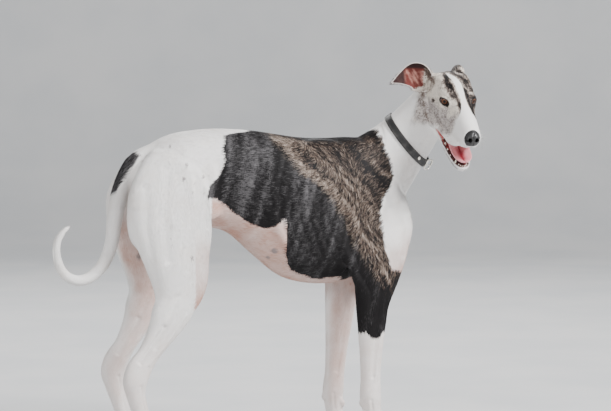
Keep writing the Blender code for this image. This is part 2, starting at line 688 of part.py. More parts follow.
def grown(outline, amount):
    """The outline with each of its edges moved outwards by this amount."""
    points = [Vector(p) for p in outline]
    count = len(points)
    turning = sum(points[i - 1].cross(points[i]) for i in range(count))
    outward = 1.0 if turning > 0 else -1.0
    made = []
    for i in range(count):
        before = (points[i] - points[i - 1]).normalized()
        after = (points[(i + 1) % count] - points[i]).normalized()
        normal = Vector((before.y + after.y, -before.x - after.x)).normalized() * outward
        lean = normal.dot(Vector((before.y, -before.x))) * outward
        made.append(points[i] + normal * (amount / lean))
    return made


def prism(outline, low, high, frame, growth=0.0):
    """An outline in the frame's first two directions, drawn out along its third from low to high."""
    ends = [low - growth, high + growth]
    rings = [[frame @ Vector((p.x, p.y, end)) for p in grown(outline, growth)] for end in ends]
    return loft(rings)


SIDE_VIEW = Matrix(((1, 0, 0, 0), (0, 0, 1, 0), (0, 1, 0, 0), (0, 0, 0, 1)))   # x and z, drawn out along y
FRONT_VIEW = Matrix(((0, 0, 1, 0), (1, 0, 0, 0), (0, 1, 0, 0), (0, 0, 0, 1)))  # y and z, drawn out along x


def part_off(mesh, *region):
    """The piece of a mesh inside a prism, and the rest of it a gap away."""
    piece = boolean(mesh.copy(), [prism(*region)], "INTERSECT")
    rest = boolean(mesh, [prism(*region, growth=JOIN_GAP)], "DIFFERENCE")
    return piece, rest


def side_range(side):
    """From just past the midline out past the leg on this side, along y."""
    inner, outer = 0.012, 0.30
    return (inner, outer) if side > 0 else (-outer, -inner)


def half_space(point, normal, shift=0.0):
    """A large box whose near face passes through the point, square to the normal."""
    frame = Matrix.Translation(point) @ normal.to_track_quat("Z", "Y").to_matrix().to_4x4()
    square = [(-FAR, -FAR), (FAR, -FAR), (FAR, FAR), (-FAR, FAR)]
    return prism(square, shift, 2 * FAR, frame)


def ahead_of(station, low, high, reach):
    """The outline of all that is ahead of a station of the tail, from low to high across it."""
    centre = Vector(row_at(TAIL, station)[:3])
    ahead = Vector(row_at(TAIL, station + 0.1)[:3]) - Vector(row_at(TAIL, station - 0.1)[:3])
    ahead.normalize()
    across = Vector((-ahead.z, 0, ahead.x))
    corners = (centre + across * low, centre + across * high,
               centre + across * high + ahead * reach, centre + across * low + ahead * reach)
    return [(p.x, p.z) for p in corners]


def tail_pieces(body):
    """The tail in three lengths, and the body without it."""
    pieces = {}
    tail, body = part_off(body, TAIL_SPACE, -TAIL_CLEAR, TAIL_CLEAR, SIDE_VIEW)
    for name, (station, low, high) in TAIL_CUTS.items():
        pieces[name], tail = part_off(tail, ahead_of(station, low, high, 0.3), -TAIL_CLEAR, TAIL_CLEAR, SIDE_VIEW)
    pieces["tail_base"] = tail
    return pieces, body


def below(cut):
    """The outline of all that is under a slanting cut."""
    (x0, z0), (x1, z1) = cut
    return [(x0, z0), (x0, UNDER_FLOOR), (x1, UNDER_FLOOR), (x1, z1)]


def paw_piece(stations, side, lean, lean_start):
    """A paw below its own cut, standing on small flats, with its claws."""
    root = paw_root(stations, side, lean, lean_start)
    forms = paw_forms(root) + [tube_mesh(leg_path(stations[-6:], side, lean, lean_start))]
    paw = fuse(forms, PAW_VOXEL, PAW_EASING, even_softness, PAW_TRIANGLES)
    paw = boolean(paw, [half_space(Vector((0, 0, PAW_CUT)), Vector((0, 0, 1)))], "DIFFERENCE")
    paw = boolean(paw, [half_space(Vector((0, 0, 0)), Vector((0, 0, -1)))], "DIFFERENCE")
    return boolean(paw, claws(root), "UNION")


def hind_leg_pieces(body, side_name):
    side = SIDES[side_name]
    lean = LEAN[side_name]["hind"]
    inner = [(side * y, z) for y, z in THIGH_CUT]
    outline = inner + [(side * 0.25, 0.73), (side * 0.25, UNDER_FLOOR), (side * 0.004, UNDER_FLOOR)]
    leg, body = part_off(body, outline, -0.60, THIGH_FRONT, FRONT_VIEW)
    low, high = side_range(side)
    (x0, z0), (x1, z1) = STIFLE_CUT
    cut = ((x0 - 0.15, z0 + 0.15 * (z0 - z1) / (x1 - x0)), (x1 + 0.10, z1 - 0.10 * (z0 - z1) / (x1 - x0)))
    shank, thigh = part_off(leg, below(cut), low, high, SIDE_VIEW)
    paw = paw_piece(SHANK, side, lean, LEAN_START["hind"])
    return {"thigh": thigh, "shank": shank, "hindpaw": paw}, body


def foreleg_pieces(body, side_name):
    side = SIDES[side_name]
    lean = LEAN[side_name]["fore"]
    low, high = side_range(side)
    forearm, body = part_off(body, below(ELBOW_CUT), low, high, SIDE_VIEW)
    paw = paw_piece(FORELEG, side, lean, LEAN_START["fore"])
    return {"forearm": forearm, "forepaw": paw}, body


def collar_frame():
    """The collar's frame: X along the neck towards the head, Y to the dog's left, Z to the nape."""
    centre = Vector(row_at(NECK, COLLAR_STATION)[:3])
    ahead = Vector(row_at(NECK, COLLAR_STATION + 0.1)[:3]) - Vector(row_at(NECK, COLLAR_STATION - 0.1)[:3])
    ahead.normalize()
    level = Vector((0, 1, 0))
    side = (level - ahead * level.dot(ahead)).normalized()
    axes = Matrix((ahead, side, ahead.cross(side))).transposed().to_4x4()
    hang = Matrix.Rotation(COLLAR_TILT, 4, "Y") @ Matrix.Rotation(COLLAR_TWIST, 4, "Z")
    return Matrix.Translation(centre) @ axes @ hang


def round_angle(k):
    """The direction of the collar's step k, across the neck."""
    angle = 2 * math.pi * k / COLLAR_STEPS
    return Vector((0, math.cos(angle), math.sin(angle)))


def neck_radii(neck, along):
    """How far the neck's surface is from the collar's middle all round, eased as a strap would lie."""
    tree = BVHTree.FromPolygons([v.co for v in neck.vertices], [tuple(p.vertices) for p in neck.polygons])
    frame = collar_frame()
    start = frame @ Vector((along, 0, 0))
    radii = np.array([tree.ray_cast(start, frame.to_3x3() @ round_angle(k))[3] for k in range(COLLAR_STEPS)])
    for _ in range(3):
        radii = (np.roll(radii, 1) + 2 * radii + np.roll(radii, -1)) / 4
    return radii


def band_mesh(edges, inner, outer, growth=0.0):
    """A band round the neck, its two faces standing off the radii at its edges, split alike at any growth."""
    frame = collar_frame()
    half = COLLAR_WIDTH / 2 + growth
    points = []
    for k in range(COLLAR_STEPS):
        for along, radii, off in ((-half, edges[0], outer + growth), (half, edges[1], outer + growth),
                                  (half, edges[1], inner - growth), (-half, edges[0], inner - growth)):
            points.append(tuple(frame @ (round_angle(k) * (radii[k] + off) + Vector((along, 0, 0)))))
    faces = []
    for k in range(COLLAR_STEPS):
        here, there = 4 * k, 4 * ((k + 1) % COLLAR_STEPS)
        for i in range(4):
            j = (i + 1) % 4
            faces += [(here + i, here + j, there + j), (here + i, there + j, there + i)]
    mesh = bpy.data.meshes.new("band")
    mesh.from_pydata(points, [], faces)
    return facing_out(mesh)


def on_collar(edges, angle, off):
    """A frame on the strap: X across it, Y along it, Z outwards; the angle starts at the dog's right side."""
    radii = (edges[0] + edges[1]) / 2
    k = round((math.pi - angle) / (2 * math.pi) * COLLAR_STEPS) % COLLAR_STEPS
    before, here, after = [round_angle(i) * radii[i % COLLAR_STEPS] for i in (k - 1, k, k + 1)]
    along = (after - before).normalized()
    across = (Vector((COLLAR_WIDTH, 0, 0)) + round_angle(k) * (edges[1][k] - edges[0][k])).normalized()
    out = across.cross(along)
    if out.dot(here) < 0:
        along, out = -along, -out
    axes = Matrix((across, along, out)).transposed().to_4x4()
    return collar_frame() @ Matrix.Translation(here + out * off) @ axes


def wire_loop(width, length, corner, radius, sides=8, corner_steps=4):
    """A rounded rectangle of wire, lying flat and centred on the origin."""
    path = []
    for cx, cy, start in ((1, 1, 0), (-1, 1, 90), (-1, -1, 180), (1, -1, 270)):
        middle = Vector((cx * (width / 2 - corner), cy * (length / 2 - corner), 0))
        for step in range(corner_steps + 1):
            angle = math.radians(start + 90 * step / corner_steps)
            path.append((middle + Vector((math.cos(angle), math.sin(angle), 0)) * corner, angle))
    points = []
    for centre, angle in path:
        out = Vector((math.cos(angle), math.sin(angle), 0))
        for k in range(sides):
            turn = 2 * math.pi * k / sides
            points.append(centre + out * (radius * math.cos(turn)) + Vector((0, 0, radius * math.sin(turn))))
    faces = []
    for i in range(len(path)):
        here, there = i * sides, ((i + 1) % len(path)) * sides
        for k in range(sides):
            j = (k + 1) % sides
            faces.append((here + k, here + j, there + j, there + k))
    mesh = bpy.data.meshes.new("loop")
    mesh.from_pydata([tuple(p) for p in points], [], faces)
    return facing_out(mesh)


def collar_pieces(neck):
    """The neck with the collar's groove, the strap, the buckle with its prong, and the rivet."""
    edges = [neck_radii(neck, -COLLAR_WIDTH / 2), neck_radii(neck, COLLAR_WIDTH / 2)]
    band = band_mesh(edges, -COLLAR_SUNK, COLLAR_OUTER)
    neck = boolean(neck, [band_mesh(edges, -COLLAR_SUNK, COLLAR_OUTER, JOIN_GAP)], "DIFFERENCE")
    lift = COLLAR_OUTER + BUCKLE_WIRE + 3 * JOIN_GAP
    frame = wire_loop(BUCKLE_SIZE[1], BUCKLE_SIZE[0], 0.005, BUCKLE_WIRE)
    half = BUCKLE_SIZE[0] / 2
    lean = Matrix.Translation((0, half, 0)) @ Matrix.Rotation(BUCKLE_LEAN, 4, "X") @ Matrix.Translation((0, -half, 0))
    prong = cone_mesh((0, -half, 0), (0, half, 0.0006), 0.0015, 8, 0.8)
    buckle = placed(boolean(frame, [prong], "UNION"), on_collar(edges, BUCKLE_ANGLE, lift) @ lean)
    rivet = bpy.data.meshes.new("rivet")
    edited(rivet, lambda work: bmesh.ops.create_cone(
        work, cap_ends=True, segments=16, radius1=RIVET_RADIUS, radius2=RIVET_RADIUS * 0.6, depth=0.0022))
    placed(rivet, on_collar(edges, RIVET_ANGLE, COLLAR_OUTER + 0.0011 + 2 * JOIN_GAP))
    return {"neck": neck, "collar_band": band, "collar_buckle": buckle, "collar_rivet": rivet}


def ear_mesh(ear):
    """A curled ear: an open shell whose arc faces where its hollow does, thickened."""
    stations = [
        (point, reach, spread, thin)
        for point, reach, spread, thin in zip(ear["path"], ear["reach"], ear["spread"], ear["thin"])
    ]
    rows = smooth_rows(stations, steps=2)
    opens = Vector(ear["opens"]).normalized()
    points = []
    for i, row in enumerate(rows):
        ahead = Vector(rows[min(i + 1, len(rows) - 1)][:3]) - Vector(rows[max(i - 1, 0)][:3])
        ahead.normalize()
        front = (opens - ahead * opens.dot(ahead)).normalized()
        up = ahead.cross(front)
        for k in range(EAR_POINTS):
            angle = math.radians(row[4]) * (2 * k / (EAR_POINTS - 1) - 1)
            across = up * (row[3] * math.sin(angle) / max(1.0, math.sin(math.radians(min(row[4], 90)))))
            points.append(Vector(row[:3]) + across - front * (row[3] * row[5] * math.cos(angle)))
    faces = []
    for i in range(len(rows) - 1):
        for k in range(EAR_POINTS - 1):
            a = i * EAR_POINTS + k
            faces.append((a, a + 1, a + 1 + EAR_POINTS, a + EAR_POINTS))
    mesh = bpy.data.meshes.new("ear")
    mesh.from_pydata([tuple(p) for p in points], [], faces)
    obj = new_object("ear", mesh)
    shell = obj.modifiers.new("Solidify", "SOLIDIFY")
    shell.thickness = EAR_THICKNESS
    shell.offset = 0.0
    return placed(facing_out(evaluated(obj)), head_frame())


def tongue_mesh(growth=0.0):
    """The cupped tongue, its middle lower than its edges."""
    rings = []
    for x, z, half, depth, hollow in smooth_rows(TONGUE, steps=2):
        ring = []
        for k in range(16):
            angle = 2 * math.pi * k / 16
            height = math.sin(angle) * (depth + growth) * (1.0 if math.sin(angle) < 0 else 0.55)
            sink = hollow * (1 - math.cos(angle) ** 2) if math.sin(angle) > 0 else 0.4 * hollow * math.sin(angle) ** 2
            ring.append(Vector((x, (half + growth) * math.cos(angle), z + height - sink)))
        rings.append(ring)
    mesh = loft(rings)
    return placed(mesh, jaw_frame())


def teeth():
    """Every tooth that the open mouth shows, each a blunt cone with its root in the gum."""
    made = []
    for side in SIDES.values():
        for rows, gum, down, frame in (
            (UPPER_TEETH, UPPER_GUM, -1.0, head_frame()),
            (LOWER_TEETH, LOWER_GUM, 1.0, jaw_frame()),
        ):
            for x, y, length, radius in rows:
                root = Vector((x, side * y, gum - down * 0.004))
                tip = Vector((x - 0.0008, side * y, gum + down * length))
                made.append(placed(cone_mesh(root, tip, radius, TOOTH_SIDES, 0.35), frame))
    return made


def lid_opening(side):
    """The almond between the lids, drawn out forwards from inside the eye."""
    across, up = LID_OPENING[0] / 2, LID_OPENING[1] / 2
    outline = []
    for k in range(20):
        angle = 2 * math.pi * k / 20
        reach = math.sin(angle) * (0.55 + 0.45 * abs(math.sin(angle)))
        outline.append((across * math.cos(angle), up * reach))
    tilt = Matrix.Rotation(side * LID_TILT, 4, "X")
    axes = Matrix(((0, 0, 1, 0), (1, 0, 0, 0), (0, 1, 0, 0), (0, 0, 0, 1)))
    return prism(outline, 0.002, 0.03, eye_frame(side) @ tilt @ axes)


def ball(radius, segments):
    reach = Vector((0, 0, radius))
    return facing_out(ellipsoid_mesh(-reach, reach, radius, radius, segments=segments))


def swollen(mesh, amount):
    """A copy of the mesh with its surface moved outwards."""
    made = mesh.copy()
    moved = [v.co + v.normal * amount for v in made.vertices]
    for vertex, place in zip(made.vertices, moved):
        vertex.co = place
    return made


def head_pieces():
    """The head, its ears, nose and lower jaw."""
    frame = head_frame()
    side_view = frame @ SIDE_VIEW
    head = fuse(skull_meshes() + [tube_mesh(NECK)], HEAD_VOXEL, HEAD_EASING, even_softness, HEAD_TRIANGLES)
    head = boolean(head, [half_space(*HEAD_CUT, shift=JOIN_GAP)], "INTERSECT")
    hollows = [placed(ellipsoid_mesh(*hollow), frame) for hollow in (PALATE, MOUTH)]
    for hollow in hollows + [prism(MOUTH_SLIT, -MOUTH_REACH, MOUTH_REACH, side_view)]:
        head = boolean(head, [hollow], "DIFFERENCE")
    head = boolean(head, teeth(), "UNION")
    head = boolean(head, [tongue_mesh(2 * JOIN_GAP)], "DIFFERENCE")
    for side in SIDES.values():
        socket = placed(ball(EYE_RADIUS + JOIN_GAP, 20), eye_frame(side))
        head = boolean(head, [socket, lid_opening(side)], "DIFFERENCE")
        for start, end, wide, thick in (NOSTRIL, NOSTRIL_SLIT):
            hole = ellipsoid_mesh(mirrored(start, side), mirrored(end, side), wide, thick, segments=12)
            head = boolean(head, [placed(hole, frame)], "DIFFERENCE")
    pieces = {}
    for name, ear in (("ear_right", RIGHT_EAR), ("ear_left", LEFT_EAR)):
        pieces[name] = boolean(ear_mesh(ear), [swollen(head, JOIN_GAP)], "DIFFERENCE")
    pieces["nose"], head = part_off(head, NOSE_CUT, -MOUTH_REACH, MOUTH_REACH, side_view)
    pieces["lower_jaw"], head = part_off(head, JAW_CUT, -MOUTH_REACH, MOUTH_REACH, side_view)
    pieces["head"] = head
    return pieces


def body_pieces():
    """The body parted into torso, neck, tail and legs, with the collar on the neck."""
    body = fuse(body_meshes(), BODY_VOXEL, BODY_EASING, body_softness, BODY_TRIANGLES)
    body = boolean(body, [half_space(Vector((0, 0, PAW_CUT + JOIN_GAP)), Vector((0, 0, -1)))], "DIFFERENCE")
    pieces, body = tail_pieces(body)
    for side_name in SIDES:
        for part_leg in (hind_leg_pieces, foreleg_pieces):
            made, body = part_leg(body, side_name)
            pieces.update({f"{name}_{side_name}": mesh for name, mesh in made.items()})
    (x0, z0), (x1, z1) = NECK_CUT
    outline = [(x0, z0), (x1, z1), (x1 + FAR, z1), (x1 + FAR, z0 + FAR), (x0, z0 + FAR)]
    neck, pieces["torso"] = part_off(body, outline, -FAR, FAR, SIDE_VIEW)
    neck = boolean(neck, [half_space(*HEAD_CUT)], "DIFFERENCE")
    pieces.update(collar_pieces(neck))
    return pieces


NODE_MATERIALS = {
    "torso": "coat_brindle", "head": "coat_ticked", "ear_right": "coat_ticked", "ear_left": "coat_ticked",
    "nose": "nose_leather", "tongue": "tongue", "eye_right": "eye", "eye_left": "eye",
    "collar_band": "collar_leather", "collar_buckle": "collar_metal", "collar_rivet": "collar_metal",
}


def main():
    clear_scene()
    collection = bpy.data.collections.new("greyhound")
    bpy.context.scene.collection.children.link(collection)
    pieces = body_pieces() | head_pieces()
    pieces["tongue"] = tongue_mesh()
    for name, side in SIDES.items():
        pieces["eye_" + name] = facing_out(placed(ball(EYE_RADIUS, 14), eye_frame(side)))
    for name, mesh in pieces.items():
        add_node(name, mesh, NODE_MATERIALS.get(name, "coat_white"))


main()
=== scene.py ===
"""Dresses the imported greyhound: one skin, a short coat, the head's details, claws and a leather collar.

Metres. Forms are made in the dog's own frame, +X ahead and +Y to its left, then moved by HOME onto the model.
"""

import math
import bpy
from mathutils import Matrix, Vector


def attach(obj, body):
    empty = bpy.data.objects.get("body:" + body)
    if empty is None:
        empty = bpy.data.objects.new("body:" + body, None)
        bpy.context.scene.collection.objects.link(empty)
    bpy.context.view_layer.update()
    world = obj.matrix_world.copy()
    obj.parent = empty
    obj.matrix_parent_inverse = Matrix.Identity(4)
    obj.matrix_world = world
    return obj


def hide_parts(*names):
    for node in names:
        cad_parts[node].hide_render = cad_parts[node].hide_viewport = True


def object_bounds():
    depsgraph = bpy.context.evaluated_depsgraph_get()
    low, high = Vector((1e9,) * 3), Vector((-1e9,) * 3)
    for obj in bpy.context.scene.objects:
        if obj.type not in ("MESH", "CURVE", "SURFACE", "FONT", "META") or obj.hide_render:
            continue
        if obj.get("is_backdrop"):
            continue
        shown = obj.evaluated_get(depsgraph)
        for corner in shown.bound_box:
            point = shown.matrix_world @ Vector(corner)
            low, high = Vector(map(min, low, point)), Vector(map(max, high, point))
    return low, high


bl_info = {
    "name": "Greyhound Model",
    "version": (1, 0, 0),
    "blender": (4, 5, 0),
    "location": "View3D > Sidebar > Greyhound",
    "description": "Builds the skin, coat, head details, claws and collar of a life-size greyhound",
    "category": "Object",
}

import bmesh
import bpy
import numpy as np
from bpy.props import FloatProperty, FloatVectorProperty, IntProperty, PointerProperty
from mathutils import Matrix, Vector
from mathutils.bvhtree import BVHTree

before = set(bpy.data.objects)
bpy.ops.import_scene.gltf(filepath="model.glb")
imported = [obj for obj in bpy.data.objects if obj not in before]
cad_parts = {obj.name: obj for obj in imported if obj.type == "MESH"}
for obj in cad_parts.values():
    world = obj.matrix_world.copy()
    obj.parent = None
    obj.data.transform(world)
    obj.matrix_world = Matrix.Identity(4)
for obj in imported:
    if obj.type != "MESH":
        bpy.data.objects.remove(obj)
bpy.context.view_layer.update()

HOME = Matrix.Translation((0.0581, 0.0732, 0.0))  # from the dog's own frame to the model's
BODY = "root"
SIDES = {"right": -1.0, "left": 1.0}
LEVEL = Vector((0, 1, 0))
SIDE_VIEW = Matrix(((1, 0, 0, 0), (0, 0, 1, 0), (0, 1, 0, 0), (0, 0, 0, 1)))  # x and z, drawn out along y
LOOK_VIEW = Matrix(((0, 0, 1, 0), (1, 0, 0, 0), (0, 1, 0, 0), (0, 0, 0, 1)))  # y and z, drawn out along x

# The photograph's view: the camera's place round the point it looks at, and where that point falls
PHOTO_SIZE = (611, 411)
VIEW_AZIMUTH = math.radians(-24)
VIEW_ELEVATION = math.radians(5)
VIEW_DISTANCE = 6.5
VIEW_TARGET = Vector((0, 0, 0.45))
VIEW_PIXEL = (281, 250)
PIXELS_PER_METRE = 455
SENSOR_WIDTH = 36.0

# The floor and its curve up into the backdrop
STAGE_HALF = 20.0
STAGE_NEAR = -24.0
STAGE_BACK = 5.0
STAGE_CURVE = 1.6
STAGE_TOP = 6.0
STAGE_STEPS = 12
# The lamps: place, size and the setting that gives the power
LAMPS = {
    "key": ((2.6, -3.6, 3.6), (1.8, 1.8), "key_power"),
    "fill": ((-3.8, -2.6, 2.4), (2.6, 2.2), "fill_power"),
    "rim": ((1.0, 3.2, 3.0), (3.0, 1.6), "fill_power"),
}
ROOM_COLOUR = (0.95, 0.96, 0.98, 1.0)

# Fineness of the fused forms
BODY_VOXEL = 0.0028
BODY_EASING = 34
HEAD_VOXEL = 0.0015
HEAD_EASING = 22
SKIN_VOXEL = 0.0016
SKIN_EASING = 4
SKIN_TRIANGLES = 186000
RING_POINTS = 40

# The trunk from the back of the pelvis to the breastbone: x, top, widest height, bottom, half width
TRUNK = [
    (-0.350, 0.640, 0.612, 0.588, 0.020),
    (-0.340, 0.657, 0.608, 0.560, 0.040),
    (-0.322, 0.677, 0.608, 0.530, 0.054),
    (-0.292, 0.698, 0.616, 0.512, 0.068),
    (-0.250, 0.713, 0.624, 0.506, 0.075),
    (-0.190, 0.720, 0.630, 0.506, 0.071),
    (-0.130, 0.720, 0.630, 0.492, 0.071),
    (-0.067, 0.715, 0.618, 0.440, 0.082),
    (-0.010, 0.706, 0.600, 0.395, 0.092),
    (0.046, 0.698, 0.578, 0.376, 0.097),
    (0.110, 0.696, 0.560, 0.371, 0.094),
    (0.165, 0.697, 0.550, 0.379, 0.084),
    (0.215, 0.690, 0.545, 0.400, 0.072),
    (0.252, 0.664, 0.540, 0.432, 0.060),
    (0.280, 0.620, 0.535, 0.462, 0.046),
    (0.300, 0.570, 0.530, 0.492, 0.022),
]

# The neck from between the shoulders to the skull: centre, half depth, half width
NECK = [
    ((0.170, 0.000, 0.562), 0.104, 0.062),
    ((0.222, -0.002, 0.612), 0.093, 0.064),
    ((0.266, -0.010, 0.656), 0.0765, 0.058),
    ((0.303, -0.022, 0.700), 0.0635, 0.0515),
    ((0.332, -0.038, 0.742), 0.0550, 0.0475),
    ((0.350, -0.058, 0.776), 0.0485, 0.0445),
    ((0.356, -0.080, 0.796), 0.0380, 0.036),
    ((0.356, -0.098, 0.804), 0.0200, 0.020),
]

# The tail, hanging from the croup and hooked at its end: centre, radius
TAIL = [
    ((-0.295, 0.000, 0.668), 0.026),
    ((-0.332, 0.000, 0.652), 0.0265),
    ((-0.358, 0.000, 0.622), 0.0240),
    ((-0.378, 0.000, 0.580), 0.0208),
    ((-0.390, 0.000, 0.532), 0.0182),
    ((-0.396, 0.000, 0.485), 0.0160),
    ((-0.413, 0.000, 0.440), 0.0147),
    ((-0.442, 0.000, 0.410), 0.0137),
    ((-0.475, 0.000, 0.401), 0.0127),
    ((-0.505, 0.000, 0.416), 0.0117),
    ((-0.521, 0.000, 0.449), 0.0106),
    ((-0.521, 0.000, 0.483), 0.0092),
    ((-0.507, 0.000, 0.507), 0.0076),
    ((-0.492, 0.000, 0.517), 0.0045),
]
TAIL_CLEAR = 0.034

# A hind leg's thigh by height: height, back, front, distance from the midline, half thickness
THIGH = [
    (0.680, -0.315, -0.235, 0.034, 0.014),
    (0.655, -0.345, -0.214, 0.046, 0.028),
    (0.620, -0.368, -0.203, 0.056, 0.037),
    (0.575, -0.385, -0.197, 0.065, 0.041),
    (0.520, -0.383, -0.199, 0.072, 0.040),
    (0.470, -0.369, -0.203, 0.078, 0.038),
    (0.425, -0.352, -0.206, 0.084, 0.035),
    (0.385, -0.338, -0.213, 0.088, 0.031),
    (0.350, -0.330, -0.230, 0.091, 0.026),
    (0.325, -0.322, -0.252, 0.092, 0.016),
]
# From the knee down to the paw: x, height, half depth, half thickness, distance from the midline
SHANK = [
    (-0.262, 0.392, 0.034, 0.026, 0.089),
    (-0.283, 0.352, 0.043, 0.029, 0.091),
    (-0.304, 0.318, 0.041, 0.026, 0.092),
    (-0.327, 0.280, 0.031, 0.0205, 0.091),
    (-0.350, 0.245, 0.0255, 0.0165, 0.090),
    (-0.370, 0.216, 0.0290, 0.0175, 0.090),
    (-0.380, 0.188, 0.0280, 0.0190, 0.091),
    (-0.378, 0.160, 0.0215, 0.0168, 0.091),
    (-0.367, 0.120, 0.0182, 0.0157, 0.092),
    (-0.355, 0.080, 0.0178, 0.0166, 0.093),
    (-0.344, 0.052, 0.0190, 0.0205, 0.093),
    (-0.330, 0.034, 0.0170, 0.0215, 0.093),
]
# A foreleg from the shoulder to the paw, in the same five measures
FORELEG = [
    (0.225, 0.560, 0.060, 0.014, 0.050),
    (0.228, 0.515, 0.060, 0.024, 0.060),
    (0.226, 0.465, 0.055, 0.030, 0.068),
    (0.210, 0.420, 0.055, 0.033, 0.071),
    (0.196, 0.372, 0.050, 0.032, 0.071),
    (0.189, 0.325, 0.0395, 0.0285, 0.070),
    (0.188, 0.275, 0.0330, 0.0250, 0.069),
    (0.187, 0.215, 0.0265, 0.0205, 0.068),
    (0.187, 0.160, 0.0235, 0.0190, 0.067),
    (0.187, 0.122, 0.0245, 0.0215, 0.067),
    (0.191, 0.092, 0.0208, 0.0200, 0.067),
    (0.199, 0.062, 0.0190, 0.0205, 0.068),
    (0.210, 0.044, 0.0190, 0.0218, 0.068),
    (0.224, 0.032, 0.0170, 0.0215, 0.068),
]
# How far each foot stands ahead of the photographed near one, and where that lean starts
LEAN = {"right": {"fore": 0.0, "hind": 0.0}, "left": {"fore": -0.040, "hind": 0.028}}
LEAN_START = {"fore": 0.44, "hind": 0.56}
PAW_STATIONS = -6  # a leg's stations from here on are fused finely with the paw

# Muscles and bony points of one side, by the leg they lean with:
# start, end, half width, half thickness, with y from the midline
SIDE_FORMS = {
    "fore": {
        "shoulder_blade": ((0.140, 0.026, 0.690), (0.262, 0.074, 0.520), 0.044, 0.019),
        "triceps": ((0.118, 0.060, 0.600), (0.160, 0.078, 0.395), 0.050, 0.025),
        "upper_arm": ((0.278, 0.060, 0.535), (0.196, 0.076, 0.385), 0.042, 0.028),
        "point_of_shoulder": ((0.232, 0.048, 0.590), (0.280, 0.056, 0.470), 0.034, 0.027),
        "breast": ((0.290, 0.020, 0.560), (0.240, 0.036, 0.385), 0.034, 0.026),
        "elbow": ((0.143, 0.074, 0.425), (0.156, 0.076, 0.365), 0.015, 0.014),
        "forearm_muscle": ((0.204, 0.078, 0.390), (0.194, 0.072, 0.235), 0.026, 0.018),
        "carpal_pad": ((0.166, 0.067, 0.122), (0.166, 0.067, 0.100), 0.007, 0.008),
        "dewclaw": ((0.200, 0.052, 0.110), (0.208, 0.048, 0.085), 0.007, 0.006),
        "neck_base": ((0.150, 0.022, 0.670), (0.275, 0.046, 0.600), 0.048, 0.030),
        "back_muscle": ((-0.020, 0.032, 0.668), (0.190, 0.034, 0.660), 0.026, 0.022),
    },
    "hind": {
        "loin": ((-0.215, 0.028, 0.688), (0.010, 0.032, 0.676), 0.028, 0.020),
        "hip_point": ((-0.246, 0.040, 0.694), (-0.190, 0.058, 0.644), 0.024, 0.014),
        "croup": ((-0.215, 0.030, 0.686), (-0.335, 0.032, 0.632), 0.032, 0.022),
        "buttock": ((-0.330, 0.048, 0.650), (-0.366, 0.070, 0.470), 0.036, 0.027),
        "quadriceps": ((-0.228, 0.066, 0.610), (-0.238, 0.090, 0.410), 0.036, 0.028),
        "flank_fold": ((-0.250, 0.064, 0.590), (-0.168, 0.052, 0.530), 0.030, 0.010),
        "kneecap": ((-0.236, 0.090, 0.425), (-0.238, 0.091, 0.380), 0.016, 0.016),
        "calf": ((-0.300, 0.092, 0.390), (-0.334, 0.092, 0.290), 0.024, 0.020),
        "hock_point": ((-0.372, 0.090, 0.232), (-0.402, 0.090, 0.196), 0.011, 0.012),
    },
}

# A paw: how its four toes fan out, and the claws at their tips
TOE_SPREAD = 0.0134
MIDDLE_TOE_LEAD = 0.010
CLAW_LENGTH = 0.019
CLAW_RADIUS = 0.0030

EYES_AT = Vector((0.353, -0.162, 0.778))
HEAD_TURN = math.radians(99)
HEAD_NOD = math.radians(19)
# The skull and upper jaw along the head: forward of the eyes, top, widest height, bottom, half width
SKULL = [
    (-0.118, 0.012, -0.010, -0.030, 0.016),
    (-0.106, 0.027, -0.008, -0.050, 0.034),
    (-0.088, 0.037, -0.008, -0.066, 0.0450),
    (-0.062, 0.042, -0.010, -0.076, 0.0495),
    (-0.036, 0.040, -0.016, -0.079, 0.0490),
    (-0.012, 0.031, -0.024, -0.078, 0.0440),
    (0.008, 0.019, -0.032, -0.077, 0.0390),
    (0.030, 0.008, -0.040, -0.0765, 0.0345),
    (0.058, -0.002, -0.044, -0.0745, 0.0302),
    (0.086, -0.013, -0.046, -0.0700, 0.0262),
    (0.106, -0.021, -0.047, -0.0660, 0.0225),
    (0.117, -0.027, -0.048, -0.0630, 0.0170),
    (0.123, -0.036, -0.049, -0.0580, 0.0090),
]
# The lower jaw with its lips before it drops, in the same measures
JAW = [
    (-0.054, -0.040, -0.060, -0.086, 0.036),
    (-0.030, -0.050, -0.062, -0.088, 0.0375),
    (0.000, -0.056, -0.063, -0.086, 0.0360),
    (0.030, -0.057, -0.063, -0.083, 0.0330),
    (0.060, -0.057, -0.063, -0.080, 0.0285),
    (0.085, -0.057, -0.063, -0.077, 0.0230),
    (0.100, -0.058, -0.064, -0.075, 0.0175),
    (0.109, -0.061, -0.066, -0.072, 0.0090),
]
JAW_HINGE = Vector((-0.050, 0.0, -0.034))
JAW_DROP = math.radians(25)
# The rest of one side of the head: start, end, half width, half thickness; forward, left, up
HEAD_FORMS = {
    "temple": ((-0.104, 0.025, 0.014), (-0.020, 0.025, 0.019), 0.021, 0.0180),
    "ear_base": ((-0.112, 0.028, 0.000), (-0.064, 0.034, 0.026), 0.018, 0.0160),
    "brow": ((-0.050, 0.036, 0.017), (0.018, 0.020, 0.004), 0.013, 0.0110),
    "cheekbone": ((-0.080, 0.048, -0.008), (0.014, 0.033, -0.016), 0.013, 0.0090),
    "cheek": ((-0.086, 0.030, 0.004), (-0.034, 0.032, -0.082), 0.028, 0.0165),
    "lip": ((-0.026, 0.030, -0.072), (0.088, 0.020, -0.068), 0.0165, 0.0080),
    "front_lip": ((0.050, 0.020, -0.064), (0.119, 0.007, -0.060), 0.0115, 0.0080),
    "whisker_pad": ((0.048, 0.018, -0.050), (0.114, 0.010, -0.054), 0.0130, 0.0115),
}
THROAT = ((-0.080, 0.0, -0.044), (-0.024, 0.0, -0.104), 0.032, 0.030)
